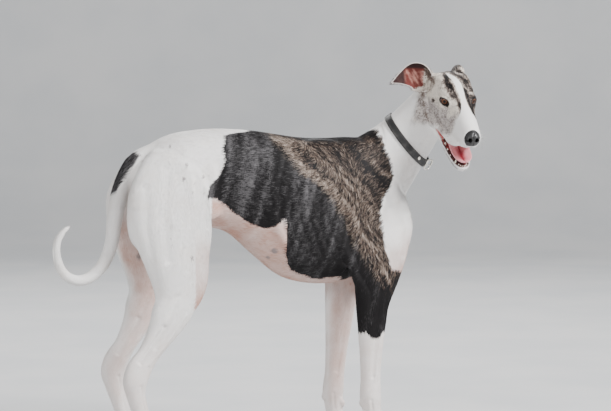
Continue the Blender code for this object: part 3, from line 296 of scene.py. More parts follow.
NOSE = ((0.104, 0.0, -0.0430), (0.1275, 0.0, -0.0430), 0.0162, 0.0185)
NOSTRIL = ((0.137, 0.0064, -0.0440), (0.1135, 0.0084, -0.0440), 0.0046, 0.0034)
NOSTRIL_SLIT = ((0.134, 0.0080, -0.0485), (0.1135, 0.0190, -0.0460), 0.0030, 0.0024)
PALATE = ((-0.020, 0.0, -0.074), (0.103, 0.0, -0.0660), 0.0105, 0.0185)
MOUTH = ((-0.054, 0.0, -0.078), (0.070, 0.0, -0.100), 0.0130, 0.0270)
MOUTH_SLIT = [(-0.028, -0.0775), (0.0, -0.0785), (0.030, -0.0790), (0.030, -0.0940), (0.0, -0.0835)]
MOUTH_REACH = 0.070
NOSE_CUT = [(0.1095, -0.015), (0.150, -0.015), (0.150, -0.0600), (0.1150, -0.0600)]

EYE_CENTRE = Vector((-0.0060, 0.0285, 0.0))
EYE_RADIUS = 0.0120
LID_RADIUS = 0.0149
EYE_TURN = math.radians(28)
LID_TILT = math.radians(16)
LID_OPENING = (0.0218, 0.0130)

# Ears: points along the middle, half height of the shell, how far its arc spreads, where its hollow faces
RIGHT_EAR = {
    "path": [(-0.080, -0.035, 0.005), (-0.088, -0.052, 0.013), (-0.094, -0.074, 0.021),
             (-0.099, -0.100, 0.015), (-0.100, -0.126, 0.004)],
    "reach": [0.017, 0.027, 0.033, 0.022, 0.004],
    "spread": [140, 112, 84, 55, 35],
    "opens": (1.0, -0.15, 0.0),
    "thin": (0.60, 0.60, 0.52, 0.35, 0.30),
}
LEFT_EAR = {
    "path": [(-0.080, 0.018, 0.008), (-0.094, 0.024, 0.018), (-0.114, 0.028, 0.020),
             (-0.138, 0.033, 0.008), (-0.160, 0.039, -0.012)],
    "reach": [0.016, 0.019, 0.020, 0.017, 0.004],
    "spread": [150, 130, 110, 80, 40],
    "opens": (-0.05, 1.0, -0.45),
    "thin": (0.7, 0.7, 0.6, 0.5, 0.4),
}
EAR_THICKNESS = 0.0026
EAR_POINTS = 25

# The tongue, lying cupped in the lower jaw before it drops: forward, up, half width, depth, hollow
TONGUE = [
    (-0.028, -0.058, 0.015, 0.0070, 0.000),
    (0.000, -0.054, 0.0190, 0.0080, 0.002),
    (0.030, -0.052, 0.0215, 0.0085, 0.004),
    (0.060, -0.050, 0.0225, 0.0090, 0.008),
    (0.080, -0.047, 0.0215, 0.0090, 0.011),
    (0.094, -0.044, 0.0180, 0.0085, 0.009),
    (0.104, -0.042, 0.0115, 0.0060, 0.004),
    (0.109, -0.041, 0.0045, 0.0030, 0.000),
]

# Teeth of one side: forward, left, length, radius
UPPER_TEETH = [
    (0.1085, 0.0026, 0.0055, 0.0020), (0.1070, 0.0066, 0.0060, 0.0021), (0.1040, 0.0104, 0.0070, 0.0023),
    (0.0940, 0.0145, 0.0130, 0.0032), (0.0790, 0.0165, 0.0050, 0.0026), (0.0630, 0.0185, 0.0060, 0.0032),
    (0.0460, 0.0205, 0.0070, 0.0038), (0.0250, 0.0220, 0.0085, 0.0050), (0.0070, 0.0230, 0.0060, 0.0040),
]
LOWER_TEETH = [
    (0.1035, 0.0022, 0.0050, 0.0017), (0.1020, 0.0056, 0.0055, 0.0018), (0.0990, 0.0088, 0.0060, 0.0020),
    (0.0915, 0.0150, 0.0110, 0.0028), (0.0700, 0.0215, 0.0045, 0.0022), (0.0530, 0.0235, 0.0050, 0.0028),
    (0.0350, 0.0250, 0.0060, 0.0034), (0.0150, 0.0260, 0.0055, 0.0044),
]
UPPER_GUM = -0.0585
LOWER_GUM = -0.0630

# Ridges and grooves seen from the side, on both sides: points of x and height, half width, height
BODY_RELIEF = {
    "behind_triceps": ([(0.118, 0.610), (0.112, 0.530), (0.128, 0.450), (0.146, 0.415)], 0.009, -0.0022),
    "blade_ridge": ([(0.170, 0.682), (0.212, 0.610), (0.240, 0.555)], 0.010, 0.0014),
    "arm_groove": ([(0.222, 0.560), (0.196, 0.500), (0.178, 0.440)], 0.008, -0.0016),
    "neck_groove": ([(0.262, 0.560), (0.300, 0.640), (0.322, 0.700)], 0.012, -0.0020),
    "thigh_seam": ([(-0.300, 0.640), (-0.318, 0.540), (-0.312, 0.450)], 0.010, -0.0018),
    "knee_seam": ([(-0.236, 0.620), (-0.262, 0.520), (-0.268, 0.430)], 0.011, -0.0022),
    "thigh_front": ([(-0.262, 0.640), (-0.250, 0.560), (-0.254, 0.480), (-0.262, 0.430)], 0.012, 0.0014),
    "hamstring": ([(-0.352, 0.600), (-0.356, 0.520), (-0.344, 0.440), (-0.336, 0.380)], 0.009, -0.0014),
    "gaskin": ([(-0.292, 0.370), (-0.316, 0.310), (-0.338, 0.262)], 0.006, -0.0012),
    "elbow_line": ([(0.150, 0.400), (0.172, 0.360), (0.178, 0.300)], 0.006, -0.0014),
    "shoulder_point": ([(0.262, 0.560), (0.276, 0.500), (0.258, 0.440)], 0.010, -0.0014),
    "last_rib": ([(-0.060, 0.640), (-0.070, 0.560), (-0.030, 0.480), (0.020, 0.430)], 0.010, 0.0016),
    "haunch_hollow": ([(-0.176, 0.640), (-0.172, 0.560)], 0.016, -0.0024),
    "heel_hollow": ([(-0.322, 0.305), (-0.350, 0.262), (-0.372, 0.232)], 0.0055, -0.0030),
    "shank_vein": ([(-0.270, 0.330), (-0.318, 0.262), (-0.352, 0.226)], 0.0022, 0.0011),
    "pastern_groove": ([(-0.372, 0.180), (-0.362, 0.120), (-0.350, 0.075)], 0.0035, -0.0014),
    "forearm_groove": ([(0.196, 0.360), (0.190, 0.280), (0.184, 0.170)], 0.0050, -0.0016),
    "forearm_vein": ([(0.206, 0.340), (0.198, 0.250), (0.190, 0.160)], 0.0020, 0.0009),
    "wrist_groove": ([(0.180, 0.118), (0.186, 0.085)], 0.0035, -0.0012),
}
RELIEF_STRENGTH = 1.5
RIB_COUNT = 7
RIB_SPACING = 0.0215
RIB_PATH = [(-0.035, 0.655), (-0.052, 0.600), (-0.046, 0.530), (-0.016, 0.460), (0.012, 0.425)]
RIB_WIDTH = 0.0075
RIB_HEIGHT = 0.0011
# The same for the head, in its own forward and up
HEAD_RELIEF = {
    "cheek_edge": ([(-0.078, -0.020), (-0.072, -0.055), (-0.048, -0.082)], 0.0070, 0.0012),
    "under_eye": ([(-0.022, -0.020), (0.006, -0.019), (0.026, -0.014)], 0.0045, -0.0012),
    "cheekbone_line": ([(-0.060, -0.016), (-0.020, -0.026), (0.030, -0.034)], 0.0060, 0.0009),
    "muzzle_hollow": ([(0.020, -0.034), (0.062, -0.036)], 0.0090, -0.0014),
    "face_vein": ([(0.000, -0.040), (0.030, -0.030), (0.052, -0.022)], 0.0016, 0.0006),
    "lip_fold": ([(-0.034, -0.062), (-0.010, -0.066), (0.020, -0.064)], 0.0030, -0.0009),
    "mouth_corner": ([(-0.040, -0.078), (-0.030, -0.088)], 0.0028, -0.0012),
}

# The nodes that the skin stands for, and the values that it gives to its material and its hair
FLESH_NODES = (
    "torso", "neck", "head", "lower_jaw", "ear_right", "ear_left", "tail_base", "tail_middle", "tail_tip",
    *(f"{name}_{side}" for name in ("thigh", "shank", "hindpaw", "forearm", "forepaw") for side in SIDES),
)
SKIN_FIELDS = ("lining", "rim", "cup", "ear", "edge", "liner", "thin", "streak", "tan_streak")

# An eyeball: its mesh, the gap to its socket, the cornea's bulge and how far the iris reaches
EYE_RINGS = 40
EYE_SIDES = 56
EYE_GAP = 0.0003
CORNEA_SPREAD = 0.60
IRIS_ANGLE = math.radians(42)
CORNEA_RISE = 0.0007

NOSE_VOXEL = 0.0007
# The nose pad seen from the front: grooves as points of left and up, half width, depth
PHILTRUM = ([(0.0, -0.030), (0.0, -0.0475), (0.0, -0.0620)], 0.0016, -0.0016)
WING_GROOVE = ([(0.0035, -0.0500), (0.0100, -0.0525), (0.0165, -0.0490)], 0.0016, -0.0010)
NOSE_WING = ([(0.0050, -0.0360), (0.0115, -0.0370), (0.0150, -0.0430)], 0.0026, 0.0009)

# The torso's brindle patch on the near side, in metres: the back edge by height, the front edge by height
# and the lower edge along the body
PATCH_BACK = [(0.560, -0.215), (0.574, -0.208), (0.598, -0.198), (0.626, -0.172), (0.649, -0.160),
              (0.685, -0.157), (0.705, -0.148), (0.711, -0.110), (0.716, -0.065), (0.730, -0.060)]
PATCH_FRONT = [(0.250, 0.300), (0.395, 0.270), (0.410, 0.222), (0.433, 0.212), (0.464, 0.207), (0.494, 0.210),
               (0.524, 0.208), (0.554, 0.214), (0.591, 0.233), (0.615, 0.246), (0.661, 0.230), (0.698, 0.224),
               (0.720, 0.222)]
PATCH_LOW = [
    (-0.230, 0.574), (-0.208, 0.574), (-0.169, 0.567), (-0.135, 0.542), (-0.102, 0.519), (-0.079, 0.508),
    (-0.050, 0.507), (-0.034, 0.516), (-0.024, 0.524), (-0.018, 0.470), (-0.010, 0.437), (0.005, 0.411),
    (0.041, 0.394), (0.084, 0.386), (0.126, 0.388), (0.140, 0.372), (0.150, 0.270), (0.166, 0.268),
    (0.180, 0.258), (0.194, 0.258), (0.207, 0.268), (0.240, 0.270),
]
FAR_BACK = [(0.480, -0.150), (0.560, -0.128),
            (0.620, -0.180), (0.670, -0.196), (0.705, -0.140), (0.716, -0.065),
            (0.730, -0.060)]
FAR_FRONT = [(0.400, 0.150), (0.450, 0.172), (0.520, 0.196), (0.600, 0.222), (0.660, 0.205), (0.700, 0.220)]
FAR_LOW = [(-0.200, 0.580), (-0.140, 0.545), (-0.080, 0.490), (-0.020, 0.430), (0.040, 0.400), (0.120, 0.402),
           (0.180, 0.430)]
TAIL_PATCH = [(0.575, -0.430), (0.590, -0.395),
              (0.605, -0.381), (0.626, -0.364), (0.650, -0.349), (0.668, -0.338)]
# Dark skin spots: place and radius
SPOTS = [
    ((-0.037, -0.051, 0.453), 0.0095), ((-0.045, -0.032, 0.437), 0.0070), ((-0.315, 0.050, 0.444), 0.0085),
    ((-0.278, -0.040, 0.689), 0.0040), ((-0.253, -0.075, 0.649), 0.0055), ((-0.266, -0.091, 0.621), 0.0060),
    ((-0.213, -0.074, 0.622), 0.0045), ((-0.246, -0.097, 0.591), 0.0055), ((-0.258, -0.115, 0.453), 0.0045),
    ((0.020, 0.060, 0.420), 0.0080), ((-0.290, 0.105, 0.560), 0.0070), ((0.250, 0.062, 0.520), 0.0060),
]
# The head's markings, in its own forward and up or left
MUZZLE_EDGE = [(-0.095, 0.020), (-0.075, 0.036),
               (-0.055, 0.058), (-0.037, 0.066), (-0.007, 0.060), (0.030, 0.052)]
CHEEK_EDGE = [(-0.110, -0.012), (-0.090, -0.020), (-0.071, -0.052), (-0.054, -0.078), (-0.027, -0.074),
              (0.030, -0.100)]
BLAZE_PLACE = [(-0.070, -0.012), (-0.055, -0.010), (-0.018, 0.000), (0.018, 0.003), (0.066, 0.000)]
BLAZE_WIDTH = [(-0.070, 0.000), (-0.058, 0.003),
               (-0.018, 0.0078), (0.018, 0.0060), (0.040, 0.0085), (0.066, 0.024)]
# The shoulder's lighter hair starts ahead of this line: height, x. The line is also where painted sunlight on
# the shoulder meets painted shade on the flank.
DIAGONAL = [(0.340, 0.215), (0.375, 0.193), (0.440, 0.160), (0.485, 0.131), (0.547, 0.098), (0.594, 0.057),
            (0.637, 0.002), (0.709, -0.040)]
# Streaks of the head, in its own forward, left and up: points, half width, strength. The third to the fifth,
# on the far side beside the blaze, round the far eye and below it, are painted shade.
DARK_STREAKS_AND_SHADE = [
    ([(-0.065, -0.016, 0.038), (-0.026, -0.018, 0.032), (-0.008, -0.0145, 0.024), (0.012, -0.0110, 0.0165),
      (0.033, -0.0090, 0.006), (0.056, -0.0100, -0.003)], 0.0040, 1.1),
    ([(-0.065, -0.017, 0.038), (-0.045, -0.018, 0.037), (-0.026, -0.021, 0.031), (-0.008, -0.019, 0.022),
      (0.012, -0.016, 0.011)], 0.0085, 0.72),
    # Painted shade, this and the next two: the far side beside the blaze, round the far eye and below it
    ([(-0.004, 0.0125, 0.021), (0.013, 0.0160, 0.0145), (0.030, 0.0175, 0.002),
      (0.058, 0.0190, -0.015)], 0.0075, 1.1),
    ([(-0.020, 0.042, 0.005), (0.008, 0.037, -0.002)], 0.0150, 1.2),
    ([(0.008, 0.029, 0.007), (0.024, 0.027, -0.003), (0.048, 0.023, -0.013)], 0.0115, 1.05),
    ([(-0.082, 0.004, 0.040), (-0.057, 0.004, 0.041), (-0.041, 0.013, 0.039), (-0.024, 0.025, 0.029),
      (-0.012, 0.034, 0.019)], 0.0115, 0.85),
    ([(-0.100, 0.022, 0.028), (-0.060, 0.032, 0.030), (-0.034, 0.038, 0.020)], 0.0100, 0.8),
    ([(-0.104, -0.020, 0.026), (-0.076, -0.014, 0.038)], 0.0090, 0.6),
    ([(-0.034, -0.048, -0.011), (-0.026, -0.046, -0.010)], 0.0030, 0.7),
]
TAN_STREAKS = [
    ([(-0.100, 0.048, 0.004), (-0.077, 0.056, -0.015), (-0.065, 0.056, -0.035), (-0.057, 0.051, -0.055),
      (-0.052, 0.045, -0.070), (-0.050, 0.036, -0.084)], 0.0042, 0.95),
    ([(-0.100, 0.062, -0.008), (-0.082, 0.068, -0.036), (-0.066, 0.063, -0.058), (-0.056, 0.055, -0.078),
      (-0.054, 0.046, -0.092)], 0.0046, 0.55),
    ([(-0.066, 0.028, 0.036), (-0.042, 0.036, 0.025), (-0.058, 0.044, 0.014)], 0.0100, 0.50),
]

# How the coat grows: tufts per square metre, length and width on the body, the lower legs and the face
BODY_COAT = (240000, 0.0095, 0.00125)
LEG_COAT = (330000, 0.0058, 0.00100)
FACE_COAT = (760000, 0.0034, 0.00062)
# A tuft: how high its ridge is, how deep its root, how it rises and strays
TUFT_HEIGHT = 0.00014
TUFT_SUNK = 0.0004
TUFT_LIFT = math.radians(5.5)
TUFT_STRAY = math.radians(9)
COAT_SEED = 11
BOX_MARGIN = 0.0003  # how far the hair stays inside the CAD's box
PATCH = 0.003  # how wide a tuft's patch is on the OFBake map
# The coat's pieces and the lines that their hair follows
COAT_PIECES = {
    "coat_side_right": ["trunk_right"],
    "coat_side_left": ["trunk_left"],
    "coat_neck": ["neck"],
    "coat_head": ["face", "ear_right", "ear_left"],
    "coat_foreleg_right": ["foreleg_right"],
    "coat_foreleg_left": ["foreleg_left"],
    "coat_hindleg_right": ["hindleg_right"],
    "coat_hindleg_left": ["hindleg_left"],
    "coat_tail": ["tail"],
}
COAT_SLOTS = {
    "coat_side_right": "coat_brindle",
    "coat_side_left": "coat_brindle",
    "coat_head": "coat_ticked",
}
# The lines that the hair of the face and the shoulder follows: centre, radius
FACE_LIE = [((0.125, 0, -0.045), 0.020), ((0.080, 0, -0.042), 0.030), ((0.020, 0, -0.035), 0.040),
            ((-0.040, 0, -0.020), 0.052), ((-0.100, 0, -0.018), 0.050)]
SHOULDER_LIE = [((0.085, 0.055, 0.670), 0.060),
                ((0.125, 0.065, 0.590), 0.065), ((0.165, 0.070, 0.500), 0.065)]

# Whiskers and brow hairs of one side, in the head's own frame: root, tip offset
WHISKERS = [
    ((0.104 - 0.010 * row - 0.004 * line, 0.020 + 0.001 * row, -0.046 - 0.0065 * line),
     (-0.006 - 0.004 * row, 0.017 + 0.003 * row, -0.004 - 0.006 * line))
    for line in range(3) for row in range(5)
] + [
    ((0.004 - 0.006 * k, 0.034, 0.018), (0.010 - 0.006 * k, 0.012, 0.016)) for k in range(3)
] + [
    ((-0.030, 0.045, -0.045), (-0.004, 0.020, -0.008)), ((-0.034, 0.045, -0.050), (-0.006, 0.018, -0.012)),
]
WHISKER_SEED = 4
WHISKER_RADIUS = 0.00022

# The collar: where it sits on the neck's path, and its leather and metal
COLLAR_STATION = 2.78
COLLAR_WIDTH = 0.016
COLLAR_INNER = 0.0008
COLLAR_OUTER = 0.0046
COLLAR_STEPS = 160
COLLAR_TILT = math.radians(8)
COLLAR_TWIST = math.radians(-14)
BUCKLE_ANGLE = math.radians(-72)
BUCKLE_SIZE = (0.0205, 0.0235)
BUCKLE_LEAN = math.radians(-24)
BUCKLE_WIRE = 0.0019
RIVET_ANGLE = math.radians(-38)
RIVET_RADIUS = 0.0042
STITCH_SPACING = 0.0042
STITCH_INSET = 0.0024
HOLE_RADIUS = 0.0016
TAIL_STEPS = (2, 40)  # where the strap's tail starts and ends past the buckle
TAIL_THICKNESS = 0.0026
KEEPER_STEPS = (6, 12)
KEEPER_GAP = 0.0012
KEEPER_WALL = 0.0014
HOLE_ANGLES = [math.radians(a) for a in (-118, -129, -140)]


def new_object(name, mesh):
    made = bpy.data.objects.new(name, mesh)
    bpy.context.scene.collection.objects.link(made)
    return made


def evaluated(obj):
    """The object's mesh as its modifiers make it; the object itself is removed."""
    graph = bpy.context.evaluated_depsgraph_get()
    mesh = bpy.data.meshes.new_from_object(obj.evaluated_get(graph))
    bpy.data.objects.remove(obj)
    return mesh


def edited(mesh, change):
    work = bmesh.new()
    work.from_mesh(mesh)
    change(work)
    work.to_mesh(mesh)
    work.free()
    return mesh


def facing_out(mesh):
    return edited(mesh, lambda work: bmesh.ops.recalc_face_normals(work, faces=work.faces))


def polygon_mesh(name, points, faces):
    mesh = bpy.data.meshes.new(name)
    mesh.from_pydata([tuple(p) for p in points], [], faces)
    return mesh


def placed(mesh, place):
    mesh.transform(place)
    return mesh


def joined(meshes):
    mesh = bpy.data.meshes.new("joined")
    return edited(mesh, lambda work: [work.from_mesh(other) for other in meshes])


def piece(name, mesh, finish, slot, smooth=True, replaces=()):
    """A finished piece of the model, moved home, riding on its body and standing for CAD nodes."""
    placed(mesh, HOME)
    mesh.name = name
    mesh.materials.clear()
    mesh.materials.append(finish)
    mesh.shade_smooth() if smooth else mesh.shade_flat()
    made = new_object(name, mesh)
    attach(made, BODY)
    if replaces:
        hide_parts(*replaces)
    return made


def column(items, name, width=1, kind=np.float64):
    """One property of all of a mesh's points, edges or faces."""
    values = np.empty(len(items) * width, dtype=kind)
    items.foreach_get(name, values)
    return values.reshape(-1, width) if width > 1 else values


def coordinates(mesh):
    return column(mesh.vertices, "co", 3)


def vertex_normals(mesh):
    return column(mesh.vertices, "normal", 3, np.float32).astype(float)


def edges_of(mesh):
    return column(mesh.edges, "vertices", 2, np.int64)


def point_attribute(mesh, name, values):
    values = np.asarray(values, dtype=np.float32)
    kind, field = ("FLOAT", "value") if values.ndim == 1 else ("FLOAT_VECTOR", "vector")
    mesh.attributes.new(name, kind, "POINT").data.foreach_set(field, values.ravel())


def square_to(direction, ahead):
    """A direction turned square to another, at unit length."""
    return (direction - ahead * direction.dot(ahead)).normalized()


def axes_of(x, y, z):
    """The turn whose columns are three directions."""
    return Matrix((x, y, z)).transposed().to_4x4()


def seen_from(points, place):
    """The points in the frame of a place."""
    back = np.array(place.inverted())
    return points @ back[:3, :3].T + back[:3, 3]


def round_turn(count):
    """The cosine and sine at each of a full turn's equal steps."""
    for k in range(count):
        angle = 2 * math.pi * k / count
        yield math.cos(angle), math.sin(angle)


def row_at(stations, station):
    """The row at a fractional station, on a Catmull-Rom curve through the stations."""
    rows = np.array([np.hstack([np.ravel(part) for part in row]) for row in stations])
    padded = np.vstack([2 * rows[0] - rows[1], rows, 2 * rows[-1] - rows[-2]])
    i = min(int(station), len(rows) - 2)
    t = station - i
    a, b, c, d = padded[i : i + 4]
    return 0.5 * (2 * b + (c - a) * t + (2 * a - 5 * b + 4 * c - d) * t**2 + (3 * b - a - 3 * c + d) * t**3)


def smooth_rows(stations, steps=4):
    return np.array([row_at(stations, k / steps) for k in range((len(stations) - 1) * steps + 1)])


def grid_faces(rows, columns, rows_close=False, columns_close=True):
    """The quads of a grid of points, going on round to the start where its rows or columns close."""
    faces = []
    for r in range(rows if rows_close else rows - 1):
        here, there = r * columns, (r + 1) % rows * columns
        for k in range(columns if columns_close else columns - 1):
            j = (k + 1) % columns
            faces.append((here + k, here + j, there + j, there + k))
    return faces


def loft(rings):
    """One closed mesh through rings of points, with a fan at each end."""
    count = len(rings[0])
    points = [p for ring in rings for p in ring]
    faces = grid_faces(len(rings), count)
    for ring, turn in ((0, -1), (len(rings) - 1, 1)):
        points.append(sum((Vector(p) for p in rings[ring]), Vector()) / count)
        hub = len(points) - 1
        loop = [ring * count + i for i in range(count)][::turn]
        faces += [(loop[i], loop[(i + 1) % count], hub) for i in range(count)]
    return facing_out(polygon_mesh("loft", points, faces))


def egg_ring(centre, side, up, half_width, above, below, count=RING_POINTS):
    return [
        Vector(centre) + side * (half_width * c) + up * ((above if s > 0 else below) * s)
        for c, s in round_turn(count)
    ]


def long_mesh(stations):
    """A closed form along X from stations of x, top, widest height, bottom and half width."""
    up = Vector((0, 0, 1))
    return loft([
        egg_ring((x, 0, middle), LEVEL, up, half, top - middle, middle - bottom)
        for x, top, middle, bottom, half in smooth_rows(stations)
    ])


def path_directions(points):
    """The direction ahead at each of a path's points."""
    ahead = np.gradient(np.asarray(points, dtype=float), axis=0)
    return ahead / np.linalg.norm(ahead, axis=1)[:, None]


def tube_mesh(stations, steps=4, count=RING_POINTS, level=LEVEL):
    """A tube whose rings stand square to its path: centre x, y, z, half depth, half width."""
    rows = smooth_rows(stations, steps)
    rings = []
    for row, ahead in zip(rows, path_directions(rows[:, :3])):
        ahead = Vector(ahead)
        side = square_to(level, ahead)
        rings.append(egg_ring(row[:3], side, ahead.cross(side), row[-1], row[3], row[3], count))
    return loft(rings)


def leaned(x, z, lean, lean_start):
    return x + lean * max(0.0, 1 - z / lean_start)


def leg_path(stations, side, lean, lean_start):
    return [
        ((leaned(x, z, lean, lean_start), side * out, z), depth, thick)
        for x, z, depth, thick, out in stations
    ]


def thigh_mesh(side, lean, lean_start):
    rings = []
    for z, back, front, out, thick in smooth_rows(THIGH):
        centre = (leaned((back + front) / 2, z, lean, lean_start), side * out, z)
        half = (front - back) / 2
        rings.append(egg_ring(centre, LEVEL, Vector((1, 0, 0)), thick, half, half))
    return loft(rings)


def ellipsoid_mesh(start, end, half_width, half_thick, flat=LEVEL, segments=20):
    """An ellipsoid from start to end, thin along the direction that flat gives."""
    start, end = Vector(start), Vector(end)
    along = (end - start).normalized()
    thin = square_to(flat, along)
    sizes = Matrix.Diagonal((half_width, half_thick, (end - start).length / 2, 1.0))
    place = Matrix.Translation((start + end) / 2) @ axes_of(thin.cross(along), thin, along) @ sizes
    return edited(bpy.data.meshes.new("form"), lambda work: bmesh.ops.create_uvsphere(
        work, u_segments=segments, v_segments=segments // 2 + 2, radius=1.0, matrix=place))


def ball(radius, segments):
    reach = Vector((0, 0, radius))
    return facing_out(ellipsoid_mesh(-reach, reach, radius, radius, segments=segments))


def prism(outline, low, high, place):
    """An outline in the place's first two directions, drawn out along its third from low to high."""
    return loft([[place @ Vector((*point, end)) for point in outline] for end in (low, high)])


def mirrored(point, side):
    return Vector(point) * Vector((1, side, 1))


def legs():
    """Each leg's end, side, stations, lean and where the lean starts."""
    for side_name, side in SIDES.items():
        for end, stations in (("fore", FORELEG), ("hind", SHANK)):
            yield end, side, stations, LEAN[side_name][end], LEAN_START[end]


def head_place():
    """The matrix from the head's own forward, left and up to the dog's frame."""
    turn = Matrix.Rotation(-HEAD_TURN, 4, "Z")
    return Matrix.Translation(EYES_AT) @ turn @ Matrix.Rotation(HEAD_NOD, 4, "Y")


HEAD_AXES = np.array(head_place())[:3, :3]


def jaw_place():
    """The matrix from the lower jaw before it drops to the dog's frame."""
    drop = Matrix.Rotation(JAW_DROP, 4, "Y")
    return head_place() @ Matrix.Translation(JAW_HINGE) @ drop @ Matrix.Translation(-JAW_HINGE)


def eye_place(side):
    """The matrix whose X is where an eye looks, with its origin at the eye's centre."""
    centre = Matrix.Translation(mirrored(EYE_CENTRE, side))
    return head_place() @ centre @ Matrix.Rotation(side * EYE_TURN, 4, "Z")


def body_meshes():
    """The trunk, neck and tail, with each leg and its muscles."""
    made = [long_mesh(TRUNK), tube_mesh(NECK), tube_mesh([(c, r, r) for c, r in TAIL])]
    for end, side, stations, lean, start in legs():
        made.append(tube_mesh(leg_path(stations, side, lean, start)))
        if end == "hind":
            made.append(thigh_mesh(side, lean, start))
        for top, bottom, wide, thick in SIDE_FORMS[end].values():
            ends = [mirrored((leaned(x, z, lean, start), y, z), side) for x, y, z in (top, bottom)]
            made.append(ellipsoid_mesh(*ends, wide, thick))
    return made


def skull_meshes():
    """The head's own forms: skull, upper and lower jaw, cheeks, brows, lips, nose and the lids' bulge."""
    made = [long_mesh(SKULL), ellipsoid_mesh(*THROAT), ellipsoid_mesh(*NOSE)]
    for side in SIDES.values():
        for start, end, wide, thick in HEAD_FORMS.values():
            made.append(ellipsoid_mesh(mirrored(start, side), mirrored(end, side), wide, thick))
    made = [placed(mesh, head_place()) for mesh in made]
    made.append(placed(long_mesh(JAW), jaw_place()))
    for side in SIDES.values():
        made.append(placed(ball(LID_RADIUS, 28), eye_place(side)))
    return made


def paw_root(stations, side, lean, lean_start):
    """Where a leg's toes start, over the paw's large pad."""
    x, _, _, _, out = stations[-2]
    return Vector((leaned(x, 0.03, lean, lean_start), side * out, 0.030))


def toe_places():
    """How far to the side and ahead each of a paw's four toes starts."""
    for toe in range(4):
        yield (toe - 1.5) * TOE_SPREAD, MIDDLE_TOE_LEAD if toe in (1, 2) else 0.0


def toe_tip(root, spread, lead):
    return root + Vector((0.050 + lead, spread * 1.14, -0.0125))


def paw_forms(root):
    """Four arched toes resting on their pads, the web between them and the large pad behind."""
    made = []
    for spread, lead in toe_places():
        start = root + Vector((-0.014, spread * 0.62, 0.006))
        knuckle = root + Vector((0.034 + lead, spread * 1.02, 0.004))
        pad = root + Vector((0.014 + lead, spread * 1.05, -0.0165))
        tip = toe_tip(root, spread, lead)
        made.append(ellipsoid_mesh(start, knuckle, 0.0100, 0.0070))
        behind, over = knuckle - Vector((0.022, 0, 0)), tip + Vector((0.005, 0, 0.003))
        made.append(ellipsoid_mesh(behind, over, 0.0108, 0.0064))
        made.append(ellipsoid_mesh(pad, tip + Vector((0.007, 0, -0.005)), 0.0142, 0.0063))
    web = [root + Vector(end) for end in ((-0.018, 0, -0.004), (0.030, 0, -0.007))]
    made.append(ellipsoid_mesh(*web, 0.0125, 0.0165))
    low = Vector((root.x, root.y, 0.0088))
    for across in (-0.0085, 0.0085):
        ends = low + Vector((-0.013, across, 0)), low + Vector((0.018, across * 0.8, 0))
        made.append(ellipsoid_mesh(*ends, 0.0098, 0.0092))
    made.append(ellipsoid_mesh(low + Vector((0.002, 0, 0)), low + Vector((0.026, 0, 0)), 0.0098, 0.0100))
    return made


def ear_shell(ear):
    """Points of an ear's shell, row by row, in the head's own frame; its arc faces where its hollow does."""
    rows = smooth_rows(list(zip(ear["path"], ear["reach"], ear["spread"], ear["thin"])), steps=6)
    opens = Vector(ear["opens"]).normalized()
    points = []
    for row, ahead in zip(rows, path_directions(rows[:, :3])):
        ahead = Vector(ahead)
        front = square_to(opens, ahead)
        up = ahead.cross(front)
        for k in range(EAR_POINTS):
            angle = math.radians(row[4]) * (2 * k / (EAR_POINTS - 1) - 1)
            across = up * (row[3] * math.sin(angle) / max(1.0, math.sin(math.radians(min(row[4], 90)))))
            points.append(Vector(row[:3]) + across - front * (row[3] * row[5] * math.cos(angle)))
    return points


def ear_mesh(ear):
    """The ear's shell, thickened."""
    points = ear_shell(ear)
    faces = grid_faces(len(points) // EAR_POINTS, EAR_POINTS, columns_close=False)
    shell = new_object("ear", polygon_mesh("ear", points, faces))
    thick = shell.modifiers.new("Solidify", "SOLIDIFY")
    thick.thickness = EAR_THICKNESS
    thick.offset = 0.0
    return placed(facing_out(evaluated(shell)), head_place())


def eased(points, edges, rounds, pull):
    """Points drawn towards the middle of their neighbours, each by its own pull."""
    count = len(points)
    first, second = edges.T
    degree = np.bincount(edges.ravel(), minlength=count)[:, None]
    for _ in range(rounds):
        near = np.stack([
            np.bincount(first, points[second, k], count) + np.bincount(second, points[first, k], count)
            for k in range(3)
        ], axis=1)
        points = points + pull[:, None] * (near / degree - points)
    return points


def fused(meshes, voxel, rounds, softness):
    """One closed surface round overlapping forms, eased by the softness of each place."""
    obj = new_object("fusing", joined(meshes))
    remesh = obj.modifiers.new("Remesh", "REMESH")
    remesh.mode = "VOXEL"
    remesh.voxel_size = voxel
    whole = evaluated(obj)
    points = coordinates(whole)
    points = eased(points, edges_of(whole), rounds, softness(points))
    whole.vertices.foreach_set("co", points.ravel())
    whole.update()
    return whole


def body_softness(points):
    """Full easing on the trunk and upper legs, little on the thin legs, the tail and the head."""
    x, y, z = points.T
    soft = np.clip((z - 0.22) / 0.20, 0.12, 1.0)
    soft[(x < -0.355) & (np.abs(y) < TAIL_CLEAR)] = 0.15
    soft[z > 0.72] = 0.35
    return 0.5 * soft


def even_softness(points):
    return np.full(len(points), 0.5)


def cut_by(mesh, forms, operation="DIFFERENCE"):
    """The mesh without what lies inside closed forms, or with only that."""
    obj = new_object("cutting", mesh)
    tool = new_object("cutter", joined(forms) if len(forms) > 1 else forms[0])
    cut = obj.modifiers.new("Boolean", "BOOLEAN")
    cut.operation = operation
    cut.solver = "MANIFOLD"
    cut.object = tool
    made = evaluated(obj)
    bpy.data.objects.remove(tool)
    return made


def lid_outline(grow=0.0, count=40):
    """The almond between the lids, across and up."""
    across, up = LID_OPENING[0] / 2 + grow, LID_OPENING[1] / 2 + grow
    return [(across * c, up * s * (0.55 + 0.45 * abs(s))) for c, s in round_turn(count)]


def lid_place(side):
    return eye_place(side) @ Matrix.Rotation(side * LID_TILT, 4, "X")


def mouth_hollows():
    """What the open mouth takes out of the head."""
    made = [placed(ellipsoid_mesh(*hollow, segments=32), head_place()) for hollow in (PALATE, MOUTH)]
    made.append(prism(MOUTH_SLIT, -MOUTH_REACH, MOUTH_REACH, head_place() @ SIDE_VIEW))
    return made


